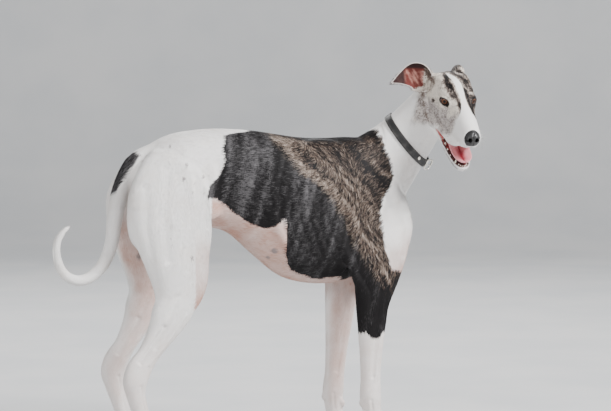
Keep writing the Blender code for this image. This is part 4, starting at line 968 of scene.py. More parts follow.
def nose_room():
    """The room in front of the skin's edge, which the nose pad fills."""
    return prism(NOSE_CUT, -MOUTH_REACH, MOUTH_REACH, head_place() @ SIDE_VIEW)


def relief(points, normals, lines, sideways=np.array((0.0, 1.0, 0.0))):
    """How far ridges and grooves lift each point, drawn on the two sides of a form seen from its side."""
    lift = np.zeros(len(points))
    flat = points[:, [0, 2]]
    for path, width, height in lines:
        path = np.array(path)
        near = (flat > path.min(0) - 3 * width).all(1) & (flat < path.max(0) + 3 * width).all(1)
        lift[near] += height * np.exp(-((path_gap(flat[near], path, 9.0) / width) ** 2))
    return lift * np.clip(np.abs(normals @ sideways) * 1.6 - 0.2, 0, 1)


def rib_lines():
    return [
        ([(x + k * RIB_SPACING, z - 0.002 * k) for x, z in RIB_PATH], RIB_WIDTH, RIB_HEIGHT)
        for k in range(RIB_COUNT)
    ]


def unleaned(points):
    """The points with the far legs' lean taken out, so that lines drawn for the near side fit them."""
    straight = points.copy()
    for end, ahead in (("fore", points[:, 0] > 0), ("hind", points[:, 0] <= 0)):
        start = LEAN_START[end]
        far = (points[:, 1] > 0) & ahead & (points[:, 2] < start)
        straight[far, 0] -= LEAN["left"][end] * (1 - points[far, 2] / start)
    return straight


def in_head(points):
    """The points in the head's own forward, left and up."""
    return seen_from(points, head_place())


def head_share(points):
    """1 on the head, 0 on the body, by how far a point is ahead of the throat."""
    local = in_head(points)
    on_head = np.clip((local[:, 0] + 0.105) / 0.02, 0, 1) * np.clip((points[:, 2] - 0.66) / 0.03, 0, 1)
    return on_head * (np.abs(local[:, 1]) < 0.14)


def ear_share(points, ear):
    """1 on an ear and 0 off it, by how near a point is to the ear's middle line."""
    rows = smooth_rows(list(zip(ear["path"], ear["reach"])), steps=6)
    local = in_head(points)
    share = np.zeros(len(points))
    near = np.linalg.norm(local - rows[:, :3].mean(0), axis=1) < 0.09
    gaps = np.linalg.norm(local[near, None, :] - rows[None, :, :3], axis=2) / (rows[None, :, 3] + 0.006)
    share[near] = np.clip((1.25 - gaps.min(1)) / 0.1, 0, 1)
    return share


def coat_depth(points):
    """How far the skin lies under the coat's surface."""
    depth = np.interp(points[:, 2], [0.0, 0.12, 0.30], [0.0006, 0.0008, 0.0014])
    share = head_share(points)
    depth = depth * (1 - share) + 0.0006 * share
    ears = np.maximum(ear_share(points, RIGHT_EAR), ear_share(points, LEFT_EAR))
    return depth * (1 - ears) + 0.0001 * ears


def head_form():
    """The head before its mouth, eyes and nose are cut, fused once and kept."""
    kept = bpy.data.meshes.get("head_form")
    if not kept:
        kept = fused(skull_meshes() + [tube_mesh(NECK)], HEAD_VOXEL, HEAD_EASING, even_softness)
        kept.name = "head_form"
        kept.use_fake_user = True
    return kept.copy()


def skin_mesh():
    """The whole skin in one closed surface, in the dog's own frame."""
    body = fused(body_meshes() + skull_meshes(), BODY_VOXEL, BODY_EASING, body_softness)
    head = cut_by(head_form(), mouth_hollows())
    body = cut_by(body, [head_space()])
    forms = [body, head, ear_mesh(RIGHT_EAR), ear_mesh(LEFT_EAR)]
    for _, side, stations, lean, start in legs():
        forms += paw_forms(paw_root(stations, side, lean, start))
        forms.append(tube_mesh(leg_path(stations[PAW_STATIONS:], side, lean, start)))
    whole = fused(forms, SKIN_VOXEL, SKIN_EASING, even_softness)
    points = coordinates(whole)
    normals = vertex_normals(whole)
    share = head_share(points)
    lines = list(BODY_RELIEF.values()) + rib_lines()
    lift = relief(unleaned(points), normals, lines) * (1 - share) * RELIEF_STRENGTH
    lift += relief(in_head(points), normals @ HEAD_AXES, HEAD_RELIEF.values()) * share
    lift += lid_relief(points)
    points += normals * (lift - coat_depth(points))[:, None]
    points[:, 2] = np.maximum(points[:, 2], 0.0)
    whole.vertices.foreach_set("co", points.ravel())
    obj = new_object("thinning", whole)
    thin = obj.modifiers.new("Decimate", "DECIMATE")
    thin.ratio = min(1.0, SKIN_TRIANGLES / (2 * len(whole.polygons)))
    whole = evaluated(obj)
    for side in SIDES.values():
        whole = cut_by(whole, [placed(ball(EYE_RADIUS, 40), eye_place(side))])
        whole = cut_by(whole, [prism(lid_outline(), 0.002, 0.03, lid_place(side) @ LOOK_VIEW)])
    return cut_by(whole, [nose_room()])


def head_space():
    """The room ahead of the throat, where the finely fused head stands alone."""
    outline = [(-0.075, -0.16), (-0.075, 0.10), (0.20, 0.10), (0.20, -0.20)]
    return prism(outline, -0.09, 0.09, head_place() @ SIDE_VIEW)


def largest_surface(mesh):
    """The mesh with only its largest connected surface kept."""

    def keep(work):
        bmesh.ops.triangulate(work, faces=work.faces)
        waiting = set(work.faces)
        groups = []
        while waiting:
            group = [waiting.pop()]
            for face in group:
                for edge in face.edges:
                    for other in edge.link_faces:
                        if other in waiting:
                            waiting.remove(other)
                            group.append(other)
            groups.append(group)
        groups.sort(key=len)
        loose = [face for group in groups[:-1] for face in group]
        bmesh.ops.delete(work, geom=loose, context="FACES")

    return edited(mesh, keep)


class Value:
    """A number that varies over a surface: arithmetic on it adds Math nodes."""

    def __init__(self, finish, socket):
        self.finish = finish
        self.socket = socket

    def math(self, operation, *others):
        return self.finish.node("ShaderNodeMath", {"operation": operation}, self, *others)

    def __add__(self, other):
        return self.math("ADD", other)

    def __sub__(self, other):
        return self.math("SUBTRACT", other)

    def __rsub__(self, other):
        return self.finish.node("ShaderNodeMath", {"operation": "SUBTRACT"}, other, self)

    def __mul__(self, other):
        return self.math("MULTIPLY", other)

    __radd__ = __add__
    __rmul__ = __mul__

    def least(self, other):
        return self.math("MINIMUM", other)

    def most(self, other):
        return self.math("MAXIMUM", other)

    def size(self):
        return self.math("ABSOLUTE")

    def rise(self, low, high):
        """0 below low and 1 above high, eased between them; falls where high is the lower."""
        settings = {"interpolation_type": "SMOOTHSTEP"}
        return self.finish.node("ShaderNodeMapRange", settings, self, low, high, 0.0, 1.0)

    def along(self, points):
        """The height of a curve through the points, which are given in the value's own unit."""
        xs, ys = np.array(points).T
        low, high = ys.min() - 0.001, ys.max() + 0.001
        shape = [((x - xs[0]) / (xs[-1] - xs[0]), (y - low) / (high - low)) for x, y in zip(xs, ys)]
        share = self.finish.node("ShaderNodeMapRange", {}, self, float(xs[0]), float(xs[-1]), 0.0, 1.0)
        drawn = self.finish.node("ShaderNodeFloatCurve", {"points": shape}, Value=share)
        return drawn * (high - low) + low


class Finish:
    """A material and its node tree, built by expressions."""

    def __init__(self, name, **constants):
        self.material = bpy.data.materials.new(name)
        self.material.use_nodes = True
        self.tree = self.material.node_tree
        self.shader = self.tree.nodes["Principled BSDF"]
        self.feed(self.shader, constants)

    def feed(self, node, inputs):
        for name, given in inputs.items():
            socket = node.inputs[name] if isinstance(name, int) else node.inputs[name.replace("_", " ")]
            if isinstance(given, Value):
                self.tree.links.new(given.socket, socket)
            else:
                socket.default_value = given

    def node(self, kind, settings, *inputs, output=0, **named):
        """A node with its settings set first, then its sockets set or linked; returns one of its outputs."""
        made = self.tree.nodes.new(kind)
        for name, given in settings.items():
            if name == "points":
                self.shape_curve(made, given)
            else:
                setattr(made, name, given)
        self.feed(made, dict(enumerate(inputs)) | named)
        return Value(self, made.outputs[output])

    @staticmethod
    def shape_curve(made, points):
        curve = made.mapping.curves[0]
        while len(curve.points) < len(points):
            curve.points.new(0.5, 0.5)
        for point, place in zip(sorted(curve.points, key=lambda p: p.location.x), sorted(points)):
            point.location = place
        made.mapping.update()

    def object_place(self):
        return self.node("ShaderNodeTexCoord", {}, output="Object")

    def attribute(self, name, kind="Fac"):
        return self.node("ShaderNodeAttribute", {"attribute_name": name}, output=kind)

    def moved(self, vector, by):
        return self.node("ShaderNodeVectorMath", {"operation": "ADD"}, vector, tuple(by))

    def scaled(self, vector, by):
        return self.node("ShaderNodeVectorMath", {"operation": "MULTIPLY"}, vector, tuple(by))

    def dot(self, vector, direction):
        settings = {"operation": "DOT_PRODUCT"}
        return self.node("ShaderNodeVectorMath", settings, vector, tuple(direction), output=1)

    def parts(self, vector):
        made = self.node("ShaderNodeSeparateXYZ", {}, vector).socket.node
        return [Value(self, socket) for socket in made.outputs]

    def vector(self, x, y, z):
        return self.node("ShaderNodeCombineXYZ", {}, x, y, z)

    def noise(self, vector, scale, detail=2.0, roughness=0.5):
        inputs = {"Vector": vector, "Scale": scale, "Detail": detail, "Roughness": roughness}
        return self.node("ShaderNodeTexNoise", {}, **inputs)

    def cells(self, vector, scale):
        return self.node("ShaderNodeTexVoronoi", {}, Vector=vector, Scale=scale)

    def mix(self, below, above, share):
        """One colour over another, by a share from 0 to 1."""
        made = self.node("ShaderNodeMix", {"data_type": "RGBA"}, output=2)
        self.feed(made.socket.node, {0: share, 6: self.rgba(below), 7: self.rgba(above)})
        return made

    @staticmethod
    def rgba(colour):
        return colour if isinstance(colour, Value) else (*tuple(colour)[:3], 1.0)

    def bump(self, height, distance, strength=1.0, under=None):
        inputs = {"Height": height, "Distance": distance, "Strength": strength}
        if under:
            inputs["Normal"] = under
        return self.node("ShaderNodeBump", {}, **inputs)

    def surface(self, **inputs):
        self.feed(self.shader, inputs)
        return self.material


def coat_finish(markings):
    """White, pink-skinned, brindle and ticked hair, by where it grows, with painted sunlight on the shoulder
    and painted shade on the flank, on the face's far side and in the ears; used by the skin and by every
    tuft.
    """
    coat = Finish("coat", Roughness=0.60)
    coat.feed(coat.shader, {"Specular_IOR_Level": 0.16})
    here = coat.object_place()
    place = coat.attribute("root", "Vector")
    x, y, z = coat.parts(place)
    tone = coat.attribute("tone") - 0.5
    wander = coat.noise(place, 38.0, 3.0) - 0.5
    hairs = coat.noise(coat.scaled(place, (260.0, 260.0, 90.0)), 1.0, 2.0) - 0.5
    ragged = wander * 0.014 + hairs * 0.012
    far = y.rise(-0.012, 0.018)

    def between(near, other):
        return near + (other - near) * far

    back = between(z.along(PATCH_BACK), z.along(FAR_BACK))
    front = between(z.along(PATCH_FRONT), z.along(FAR_FRONT))
    low = between(x.along(PATCH_LOW), x.along(FAR_LOW))
    soft = 0.0018
    patch = ((x + ragged - back).rise(-soft, soft) * (front - x + ragged).rise(-soft, soft)
             * (z + ragged - low).rise(-soft, soft))
    near_leg = (z - 0.42).rise(0.0, -0.02)
    patch = patch * (1 - near_leg * y.rise(-0.025, -0.015)) * (0.30 - x).rise(0.0, 0.01)
    tail_patch = ((z.along(TAIL_PATCH) - x + ragged).rise(-soft, soft) * z.rise(0.578, 0.590)
                  * (0.682 - z).rise(0.0, 0.010) * (y.size() - 0.030).rise(0.0, -0.006))
    spine = (z - 0.7165 + ragged * 0.2).rise(-0.001, 0.001) * x.rise(-0.225, -0.205) * x.rise(-0.055, -0.075)
    patch = patch * (1 - spine)

    # Ahead of the diagonal the shoulder's hair is lighter: partly its own tan and black flecks, partly
    # painted sunlight against the flank's painted shade
    ahead_of = x - z.along(DIAGONAL) + wander * 0.030 + hairs * 0.006
    shoulder = (ahead_of + tone * 0.016).rise(-0.007, 0.009)
    fleck = coat.noise(coat.vector(x * 360.0, y * 210.0, z * 100.0), 1.0, 2.0) - 0.5
    folds = coat.noise(coat.vector((x - z * 0.22) * 44.0, y * 7.0, z * 4.0), 1.0, 2.0, 0.55) - 0.5
    lines = coat.noise(coat.vector(ahead_of * 62.0, y * 9.0, z * 3.6), 1.0, 2.5, 0.6) - 0.5
    grain = fleck * 1.5 + tone * 0.85
    # The flank: black and grey stripes, darker towards the belly, their grey darkened and cooled as painted
    # shade
    flank = (folds * 2.4 + grain * 1.0 + 0.18) * (0.62 + z.rise(0.40, 0.66) * 0.38)
    flank = coat.mix(markings.brindle_dark, markings.brindle_grey_shaded, flank.rise(0.05, 0.95))
    # Painted sunlight: a lighter band just ahead of the diagonal and a little more light higher up, over the
    # shoulder's own tan and black flecks
    lit = ahead_of.rise(0.080, 0.015) * 0.22 + z.rise(0.46, 0.56) * 0.06 + 0.09
    ridge = (y.size() - 0.026).rise(0.010, -0.006) * z.rise(0.62, 0.66)
    arm = lines * 2.1 + grain * 1.25 + lit - ridge * 0.55
    arm = arm - z.rise(0.40, 0.33) * 0.9 - ahead_of.rise(0.085, 0.14) * 0.20
    arm_colour = coat.mix(markings.brindle_dark, markings.brindle_brown, arm.rise(0.0, 0.38))
    arm_colour = coat.mix(arm_colour, markings.brindle_tan_sunlit, arm.rise(0.34, 0.88))
    brindle = coat.mix(flank, arm_colour, shoulder)

    head = coat.moved(place, -EYES_AT)
    ahead, left, up = [coat.dot(head, head_place().col[i][:3]) for i in range(3)]
    head_zone = (ahead + 0.118 + wander * 0.02).rise(0.0, 0.006) * (z - 0.70).rise(0.0, 0.01)
    cheeks = ((up.along(MUZZLE_EDGE) - ahead + ragged * 0.9).rise(-0.005, 0.006)
              * (up - ahead.along(CHEEK_EDGE) + ragged * 1.1).rise(-0.006, 0.014) * head_zone)
    cheeks = cheeks * y.rise(0.00, -0.02)
    off_blaze = (left - ahead.along(BLAZE_PLACE)).size() - ahead.along(BLAZE_WIDTH)
    cheeks = cheeks * (off_blaze + ragged * 0.16).rise(-0.0008, 0.0008)
    dust = coat.noise(place, 430.0, 2.0) - 0.5
    clouds = coat.noise(place, 70.0, 3.0) - 0.5
    bands = coat.noise(coat.vector(ahead * 40.0, left * 70.0, up * 70.0), 1.0, 2.0) - 0.5
    crown = up.rise(0.006, 0.034)
    cheek = up.rise(0.004, -0.030)
    ear = coat.attribute("ear")
    # The dark streaks of the head, with the painted shade of the face's far side
    streak = coat.attribute("streak")
    streak = streak + ear * (up.rise(0.014, 0.036) * 0.6 + left.rise(0.0, 0.02) * 0.5 + 0.12)
    speck = dust * 1.7 + tone * 0.9 + clouds * 0.9 + bands * (crown * 1.2 + 0.3)
    speck = speck + streak * 1.15 + cheek * 0.26 + crown * 0.14 + 0.06
    grey = coat.mix(markings.ticked_pale, markings.ticked_grey, (cheek * 0.6 + clouds * 1.2).rise(0.1, 0.7))
    grey = coat.mix(grey, markings.ticked_dark, speck.rise(0.22, 0.52))
    grey = coat.mix(grey, markings.brindle_dark, speck.rise(0.52, 0.98))
    tan = coat.attribute("tan_streak").most(ear * 0.62) + tone * 0.7 + dust * 1.2 + clouds * 1.1 + 0.06
    grey = coat.mix(grey, markings.brindle_brown, tan.rise(0.35, 1.0) * 0.8)

    shade = coat.noise(place, 22.0, 3.0)
    white = coat.mix(markings.white, markings.cream, shade.rise(0.40, 0.78) * 0.6)
    white = coat.mix(white, markings.cream, tone.rise(0.10, 0.55) * 0.5)
    thin = coat.attribute("thin")
    white = coat.mix(white, markings.skin_pink, thin * (0.78 + (shade - 0.5) * 0.8 + tone * 0.35))
    tick = coat.cells(place, 46.0)
    ticks = ((0.16 - tick).rise(0.0, 0.06) * coat.noise(place, 9.0, 2.0).rise(0.52, 0.62)
             * x.rise(-0.18, -0.21) * z.rise(0.40, 0.46))
    white = coat.mix(white, markings.ticking, ticks * 0.45)
    spots = None
    for centre, radius in SPOTS:
        gap = coat.node("ShaderNodeVectorMath", {"operation": "DISTANCE"}, place, centre, output=1)
        spot = (gap + ragged * 0.25).rise(radius, radius * 0.55)
        spots = spot if spots is None else spots.most(spot)
    white = coat.mix(white, markings.ticking, spots * 0.85)

    colour = coat.mix(white, brindle, patch.most(tail_patch))
    colour = coat.mix(colour, grey, cheeks.most(ear))
    lining = coat.attribute("lining")
    wet = coat.noise(here, 120.0, 2.0)
    gum_shade = (wet * 0.7 + coat.attribute("rim") * 0.62).rise(0.5, 1.0)
    flesh = coat.mix(markings.gum_pink, markings.gum_dark, gum_shade)
    colour = coat.mix(colour, flesh, lining)
    cup = coat.attribute("cup")
    # The ear's cup: pink skin with a random red tone and painted shade between its ridges and towards its top
    # and bottom; its folded outer part dark brown deepened as painted shade, and a painted shadow in a band
    # under the top rim
    outer = (left.size() - 0.086 - up * 0.15 + wander * 0.012).rise(0.0, 0.009)
    ridges = coat.noise(coat.vector((left * -1.0 - up * 0.55) * 105.0, up * 22.0, 0.0), 1.0, 2.0) - 0.5
    hollow = (wet - 0.5) * 0.6 + ridges * 1.9 + (up - 0.018).size().rise(0.006, 0.022) * 0.35 + 0.50
    inside = coat.mix(markings.ear_pink, markings.ear_red_and_shade, hollow.rise(0.15, 0.85))
    inside = coat.mix(inside, markings.ear_brown_and_shade, outer.most(up.rise(0.033, 0.040)) * 0.96)
    colour = coat.mix(colour, inside, cup.rise(0.35, 0.85))
    colour = coat.mix(colour, markings.cream, coat.attribute("edge").rise(0.45, 0.90) * (0.75 + tone * 0.5))
    colour = coat.mix(colour, (0.010, 0.007, 0.006), coat.attribute("liner"))
    colour = coat.mix(colour, markings.pad, z.rise(0.0068, 0.0050))
    bristle = coat.noise(coat.scaled(here, (900.0, 900.0, 300.0)), 1.0, 2.0)
    bare = lining.most(cup).most(thin * 0.8)
    height = bristle * (1 - bare) + coat.noise(here, 420.0, 2.0) * bare + ridges * cup * 3.0
    return coat.surface(
        Base_Color=colour,
        Roughness=0.60 - lining * 0.34,
        Normal=coat.bump(height, 0.0006, 0.40),
    )


def distance_to(mesh, points, limit):
    """How far each point is from a closed surface, up to a limit."""
    tree = BVHTree.FromPolygons([v.co for v in mesh.vertices], [tuple(p.vertices) for p in mesh.polygons])
    found = [tree.find_nearest(Vector(p), limit)[3] for p in points]
    return np.array([limit if gap is None else gap for gap in found])


def thin_haired(points, normals):
    """How bare each place is: the belly, the inner thighs, the armpits, the feet and the lower legs."""
    x, y, z = points.T
    belly = np.clip((0.50 - z) / 0.06, 0, 1) * np.clip((-normals[:, 2] + 0.35) / 0.6, 0, 1)
    belly *= (z > 0.34) & (x > -0.25)
    flank = np.interp(x, [-0.20, -0.10, -0.02], [0.600, 0.562, 0.535])
    belly = np.maximum(belly, np.clip((flank - z) / 0.03, 0, 1) * ((x > -0.19) & (x < 0.0) & (z > 0.36)))
    middle = np.where(x < 0, 0.088, 0.069)
    inner = np.clip((middle - np.abs(y)) / 0.02, 0, 1) * np.clip(-normals[:, 1] * np.sign(y) * 1.4, 0, 1)
    inner *= np.interp(z, [0.05, 0.20, 0.50, 0.56], [0.4, 0.9, 1.0, 0.2]) * ((x < -0.18) | (z < 0.42))
    lower = np.interp(z, [0.02, 0.10, 0.24, 0.34], [0.34, 0.26, 0.22, 0.0])
    return np.clip(np.maximum(np.maximum(belly, inner * 0.85), lower), 0, 1)


def ear_edges(points):
    """1 on the rim of an ear and 0 away from it."""
    local = in_head(points)
    edge = np.zeros(len(points))
    for ear in (RIGHT_EAR, LEFT_EAR):
        near = ear_share(points, ear) > 0
        shell = np.array(ear_shell(ear)).reshape(-1, EAR_POINTS, 3)
        gaps = np.full(near.sum(), 1.0)
        for line in (shell[:, 0], shell[:, -1], shell[-1]):
            gaps = np.minimum(gaps, path_gap(local[near], line, 1.0))
        edge[near] = np.maximum(edge[near], np.exp(-((gaps / 0.0042) ** 2)))
    return edge


def ear_cups(points, normals):
    """1 inside an ear's cup and 0 elsewhere."""
    turned = normals @ HEAD_AXES
    local = in_head(points)
    cups = np.zeros(len(points))
    for ear, side in ((RIGHT_EAR, -1), (LEFT_EAR, 1)):
        opens = np.array(ear["opens"]) / np.linalg.norm(ear["opens"])
        inside = np.clip(turned @ opens * 2.2 - 0.3, 0, 1) * ear_share(points, ear)
        start = abs(ear["path"][0][1]) + 0.012
        inside *= np.clip((local[:, 1] * side - start) / 0.006, 0, 1)
        outward = np.maximum(local[:, 1] * side - 0.060, 0)
        inside *= np.clip((local[:, 2] + 0.007 + outward + 0.03 * (side > 0)) / 0.004, 0, 1)
        cups = np.maximum(cups, inside * (1 if side < 0 else np.clip((-0.104 - local[:, 0]) / 0.006, 0, 1)))
    return cups


def lid_reach(points, side):
    """How far from the middle of an eye's opening each point is, with 1 on the lids' edge."""
    local = seen_from(points, lid_place(side))
    reach = np.hypot(local[:, 1] / (LID_OPENING[0] / 2), local[:, 2] / (LID_OPENING[1] / 2))
    ahead = local[:, 0] > 0.004
    return np.where(ahead & (np.linalg.norm(local, axis=1) < 0.030), reach, 9.0), local[:, 2]


def lid_relief(points):
    """The lids' swelling round each eye and the fold above it."""
    lift = np.zeros(len(points))
    for side in SIDES.values():
        reach, up = lid_reach(points, side)
        lift += 0.0007 * np.exp(-(((reach - 1.25) / 0.22) ** 2))
        fold = np.exp(-(((reach - 1.85) / 0.16) ** 2)) * np.where(up > 0, 1.0, 0.55)
        lift -= 0.0011 * fold
    return lift


def path_gap(points, path, reach):
    """How far points are from a line through a path's points, up to a reach."""
    gaps = np.full(len(points), reach)
    for start, end in zip(np.array(path[:-1]), np.array(path[1:])):
        run = end - start
        share = np.clip((points - start) @ run / (run @ run), 0, 1)
        gaps = np.minimum(gaps, np.linalg.norm(points - start - share[:, None] * run, axis=1))
    return gaps


def streaks(points, lines, both_sides=False):
    """How strongly the head's streaks, and the painted shade laid out like them, mark each point."""
    local = in_head(points)
    if both_sides:
        local[:, 1] = np.abs(local[:, 1])
    total = np.zeros(len(points))
    for path, half, strength in lines:
        gaps = path_gap(local, path, 0.1)
        total = np.maximum(total, strength * np.exp(-((gaps / half) ** 2)))
    return total * (head_share(points) > 0)


def lip_tops(points, normals):
    """1 on the lower lip's upper edge and its inner side, and 0 elsewhere."""
    local = in_head(points)
    up = (normals @ HEAD_AXES)[:, 2]
    height = seen_from(points, jaw_place())[:, 2]
    low = (local[:, 2] < -0.055) & (local[:, 0] > -0.036) & (height < -0.050) & (height > -0.068)
    return np.clip((up - 0.30) / 0.25, 0, 1) * low * (np.abs(local[:, 1]) < 0.045)


def build_skin(settings):
    mesh = largest_surface(skin_mesh())
    points = coordinates(mesh)
    normals = vertex_normals(mesh)
    near_head = head_share(points) > 0
    gaps = np.full(len(points), 0.01)
    for hollow in mouth_hollows():
        gaps[near_head] = np.minimum(gaps[near_head], distance_to(hollow, points[near_head], 0.01))
    lids = np.minimum(lid_reach(points, 1.0)[0], lid_reach(points, -1.0)[0])
    inner = lip_tops(points, normals)
    cups = ear_cups(points, normals)
    ahead, left, up = in_head(points).T
    ears = ear_share(points, RIGHT_EAR) * np.clip((-0.036 - left) / 0.006, 0, 1)
    ears *= np.clip((up + 0.010 - np.maximum(-0.072 - left, 0)) / 0.004, 0, 1)
    ears = np.maximum(ears, ear_share(points, LEFT_EAR) * np.clip((-0.098 - ahead) / 0.010, 0, 1))
    values = {
        "lining": np.maximum(np.clip((0.0022 - gaps) / 0.0010, 0, 1), inner),
        "rim": np.maximum(
            np.clip((gaps - 0.0010) / 0.0010, 0, 1), np.minimum(inner, 1.6 * (1 - inner) + 0.25)),
        "cup": cups,
        "ear": ears * (1 - cups),
        "edge": ear_edges(points) * np.maximum(ears, cups),
        "liner": np.clip((1.34 - lids) / 0.12, 0, 1),
        "thin": thin_haired(points, normals),
        # Dark streaks, with the painted shade of the face's far side
        "streak": streaks(points, DARK_STREAKS_AND_SHADE),
        "tan_streak": streaks(points, TAN_STREAKS, both_sides=True),
    }
    for name in SKIN_FIELDS:
        point_attribute(mesh, name, values[name])
    point_attribute(mesh, "tone", np.full(len(points), 0.5))
    point_attribute(mesh, "root", points)
    return piece("skin", mesh, coat_finish(settings), "coat_white", replaces=FLESH_NODES)


def lie_paths():
    """The lines that the hair follows, with how far each one's hair reaches: centre x, y, z, radius."""
    paths = {}
    trunk = [((x, 0.0, (top + low) / 2), (top - low) / 2) for x, top, _, low, _ in TRUNK[1:-1]][::-1]
    for name, side in SIDES.items():
        paths["trunk_" + name] = [((x, side * 0.035, z), r) for (x, _, z), r in trunk]
    paths["neck"] = [(centre, deep) for centre, deep, _ in NECK[:-2]][::-1]
    head = head_place()
    paths["face"] = [(head @ Vector(p), r) for p, r in FACE_LIE]
    for ear, side in ((RIGHT_EAR, "right"), (LEFT_EAR, "left")):
        paths["ear_" + side] = [(head @ Vector(p), r) for p, r in zip(ear["path"], ear["reach"])]
    for end, side, stations, lean, start in legs():
        name = "right" if side < 0 else "left"
        leg = [(tuple(centre), deep) for centre, deep, _ in leg_path(stations, side, lean, start)]
        foot = Vector(leg[-1][0]) + Vector((0.075, 0, -0.020))
        if end == "fore":
            top = [(mirrored(p, side), r) for p, r in SHOULDER_LIE]
            paths["foreleg_" + name] = top + leg[3:] + [(foot, 0.02)]
        else:
            top = [
                ((leaned((b + f) / 2, z, lean, start), side * y, z), (f - b) / 2)
                for z, b, f, y, _ in THIGH[:-3]
            ]
            paths["hindleg_" + name] = top + leg[1:] + [(foot, 0.02)]
    paths["tail"] = list(TAIL[1:])
    return paths


def hair_lie(points):
    """At each point: the way the hair lies, the line it belongs to, how far along and how far round it."""
    lie = np.zeros((len(points), 3))
    best, owner = np.zeros(len(points)), np.zeros(len(points), dtype=int)
    along, around = np.zeros(len(points)), np.zeros(len(points))
    for number, (name, path) in enumerate(lie_paths().items()):
        rows = smooth_rows(path, 5)
        ahead = path_directions(rows[:, :3])
        squares = np.full(len(points), np.inf)
        nearest = np.zeros(len(points), dtype=int)
        for k, row in enumerate(rows):
            gap = ((points - row[:3]) ** 2).sum(1) / max(row[3], 0.008) ** 2
            nearer = gap < squares
            squares[nearer] = gap[nearer]
            nearest[nearer] = k
        weight = (np.sqrt(squares) + 0.15) ** -7.0
        run = ahead[nearest]
        lean = np.array((0.0, 0.0, -0.42)) if name.startswith("trunk") else np.zeros(3)
        lie += weight[:, None] * (run + lean)
        off = points - rows[nearest, :3]
        level = np.array(LEVEL) if abs(ahead.mean(0)[1]) < 0.5 else np.array((1.0, 0.0, 0.0))
        side = np.cross(run, level)
        side /= np.linalg.norm(side, axis=1)[:, None]
        turn = np.arctan2((off * np.cross(run, side)).sum(1), (off * side).sum(1))
        wins = weight > best
        best[wins], owner[wins] = weight[wins], number
        along[wins] = (nearest[wins] + 0.5) / len(rows)
        around[wins] = turn[wins] / (2 * math.pi) + 0.5
    return lie, owner, along, around


def hair_measures(points, fields):
    """Tufts per square metre, length and width at each point."""
    face = head_share(points)
    local = in_head(points)
    z = points[:, 2]
    low = np.clip((0.44 - z) / 0.12, 0, 1) * (1 - face)
    low = np.maximum(low, ((points[:, 0] < -0.352) & (z < 0.56)) * 0.75)
    found = []
    for body, leg, head in zip(BODY_COAT, LEG_COAT, FACE_COAT):
        found.append((body * (1 - low) + leg * low) * (1 - face) + head * face)
    density, length, width = found
    length = length * np.interp(z, [0.0, 0.05, 0.12], [0.55, 0.62, 1.0])
    chin = (face > 0.5) & (local[:, 2] < -0.060) & (local[:, 0] > -0.03)
    on_ear = np.maximum(fields["ear"], fields["cup"])
    length *= (1 - 0.55 * chin) * (1 - 0.60 * fields["edge"]) * (1 - 0.35 * on_ear)
    nape = np.clip((-0.055 - local[:, 0]) / 0.05, 0, 1) * face * (fields["ear"] < 0.2)
    length *= 1 + nape * 0.7
    length *= 1 + 0.35 * ((points[:, 0] < -0.352) & (z > 0.42) & (np.abs(points[:, 1]) < 0.028))
    density = density * (1 - 0.82 * fields["cup"]) * (1 - 0.62 * fields["thin"] * (z > 0.25))
    density *= (fields["lining"] < 0.15) & (fields["liner"] < 0.5) & (z > 0.0060)
    worn = seen_from(points, collar_place())
    under = (np.abs(worn[:, 0]) < COLLAR_WIDTH / 2 - 0.001) & (np.linalg.norm(worn, axis=1) < 0.1)
    return density * ~under, length, width


def scattered_roots(mesh, rng):
    """Seeded roots over a mesh by its hair's density, with the normal and the skin's values at each."""
    mesh.calc_loop_triangles()
    corners = column(mesh.loop_triangles, "vertices", 3, np.int32)
    points = coordinates(mesh) - np.array(HOME.translation)
    normals = vertex_normals(mesh)
    fields = {name: column(mesh.attributes[name].data, "value", kind=np.float32) for name in SKIN_FIELDS}
    density, length, width = hair_measures(points, fields)
    a, b, c = (points[corners[:, k]] for k in range(3))
    area = np.linalg.norm(np.cross(b - a, c - a), axis=1) / 2
    total = np.cumsum(area * density[corners].mean(1))
    count = int(total[-1])
    face = np.searchsorted(total, np.arange(count) + rng.random(count)).clip(max=len(corners) - 1)
    first, second = np.sqrt(rng.random(count)), rng.random(count)
    shares = np.column_stack([1 - first, first * (1 - second), first * second])

    def under(values):
        picked = values[corners[face]]
        weights = shares if values.ndim == 1 else shares[:, :, None]
        return (picked * weights).sum(1)

    roots, out = under(points), under(normals)
    out /= np.linalg.norm(out, axis=1)[:, None]
    measures = {name: under(values) for name, values in fields.items()}
    return roots, out, under(length), under(width), measures


def unit(vectors):
    return vectors / np.maximum(np.linalg.norm(vectors, axis=1), 1e-9)[:, None]


def tuft_mesh(roots, out, lie, length, width, spots):
    """Closed, flat, pointed tufts of four faces each, lying along the coat, with their patches on OFBake."""
    count = len(roots)
    side = unit(np.cross(out, lie))
    ahead = np.cross(side, out)
    tip = roots + (ahead * math.cos(TUFT_LIFT) + out * math.sin(TUFT_LIFT)) * length[:, None]
    base = roots - out * TUFT_SUNK
    half = side * (width / 2)[:, None]
    points = np.stack([base + half, base - half, roots + out * TUFT_HEIGHT, tip], axis=1).reshape(-1, 3)
    turned = np.stack([unit(out + side * 0.35), unit(out - side * 0.35), out, out], axis=1).reshape(-1, 3)
    pattern = np.array([(0, 1, 2), (0, 2, 3), (2, 1, 3), (1, 0, 3)])
    corners = (np.arange(count)[:, None, None] * 4 + pattern).ravel()
    mesh = bpy.data.meshes.new("tufts")
    mesh.vertices.add(count * 4)
    mesh.vertices.foreach_set("co", points.ravel())
    mesh.loops.add(count * 12)
    mesh.loops.foreach_set("vertex_index", corners.astype(np.int32))
    mesh.polygons.add(count * 4)
    mesh.polygons.foreach_set("loop_start", np.arange(count * 4, dtype=np.int32) * 3)
    mesh.update(calc_edges=True)
    patch = np.array([(0.0, 0.0), (1.0, 0.0), (0.5, 0.3), (0.5, 1.0)]) * PATCH
    places = (spots[:, None, :] + patch).reshape(-1, 2)[corners]
    layer = mesh.uv_layers.new(name="OFBake")
    layer.data.foreach_set("uv", places.astype(np.float32).ravel())
    return mesh, turned


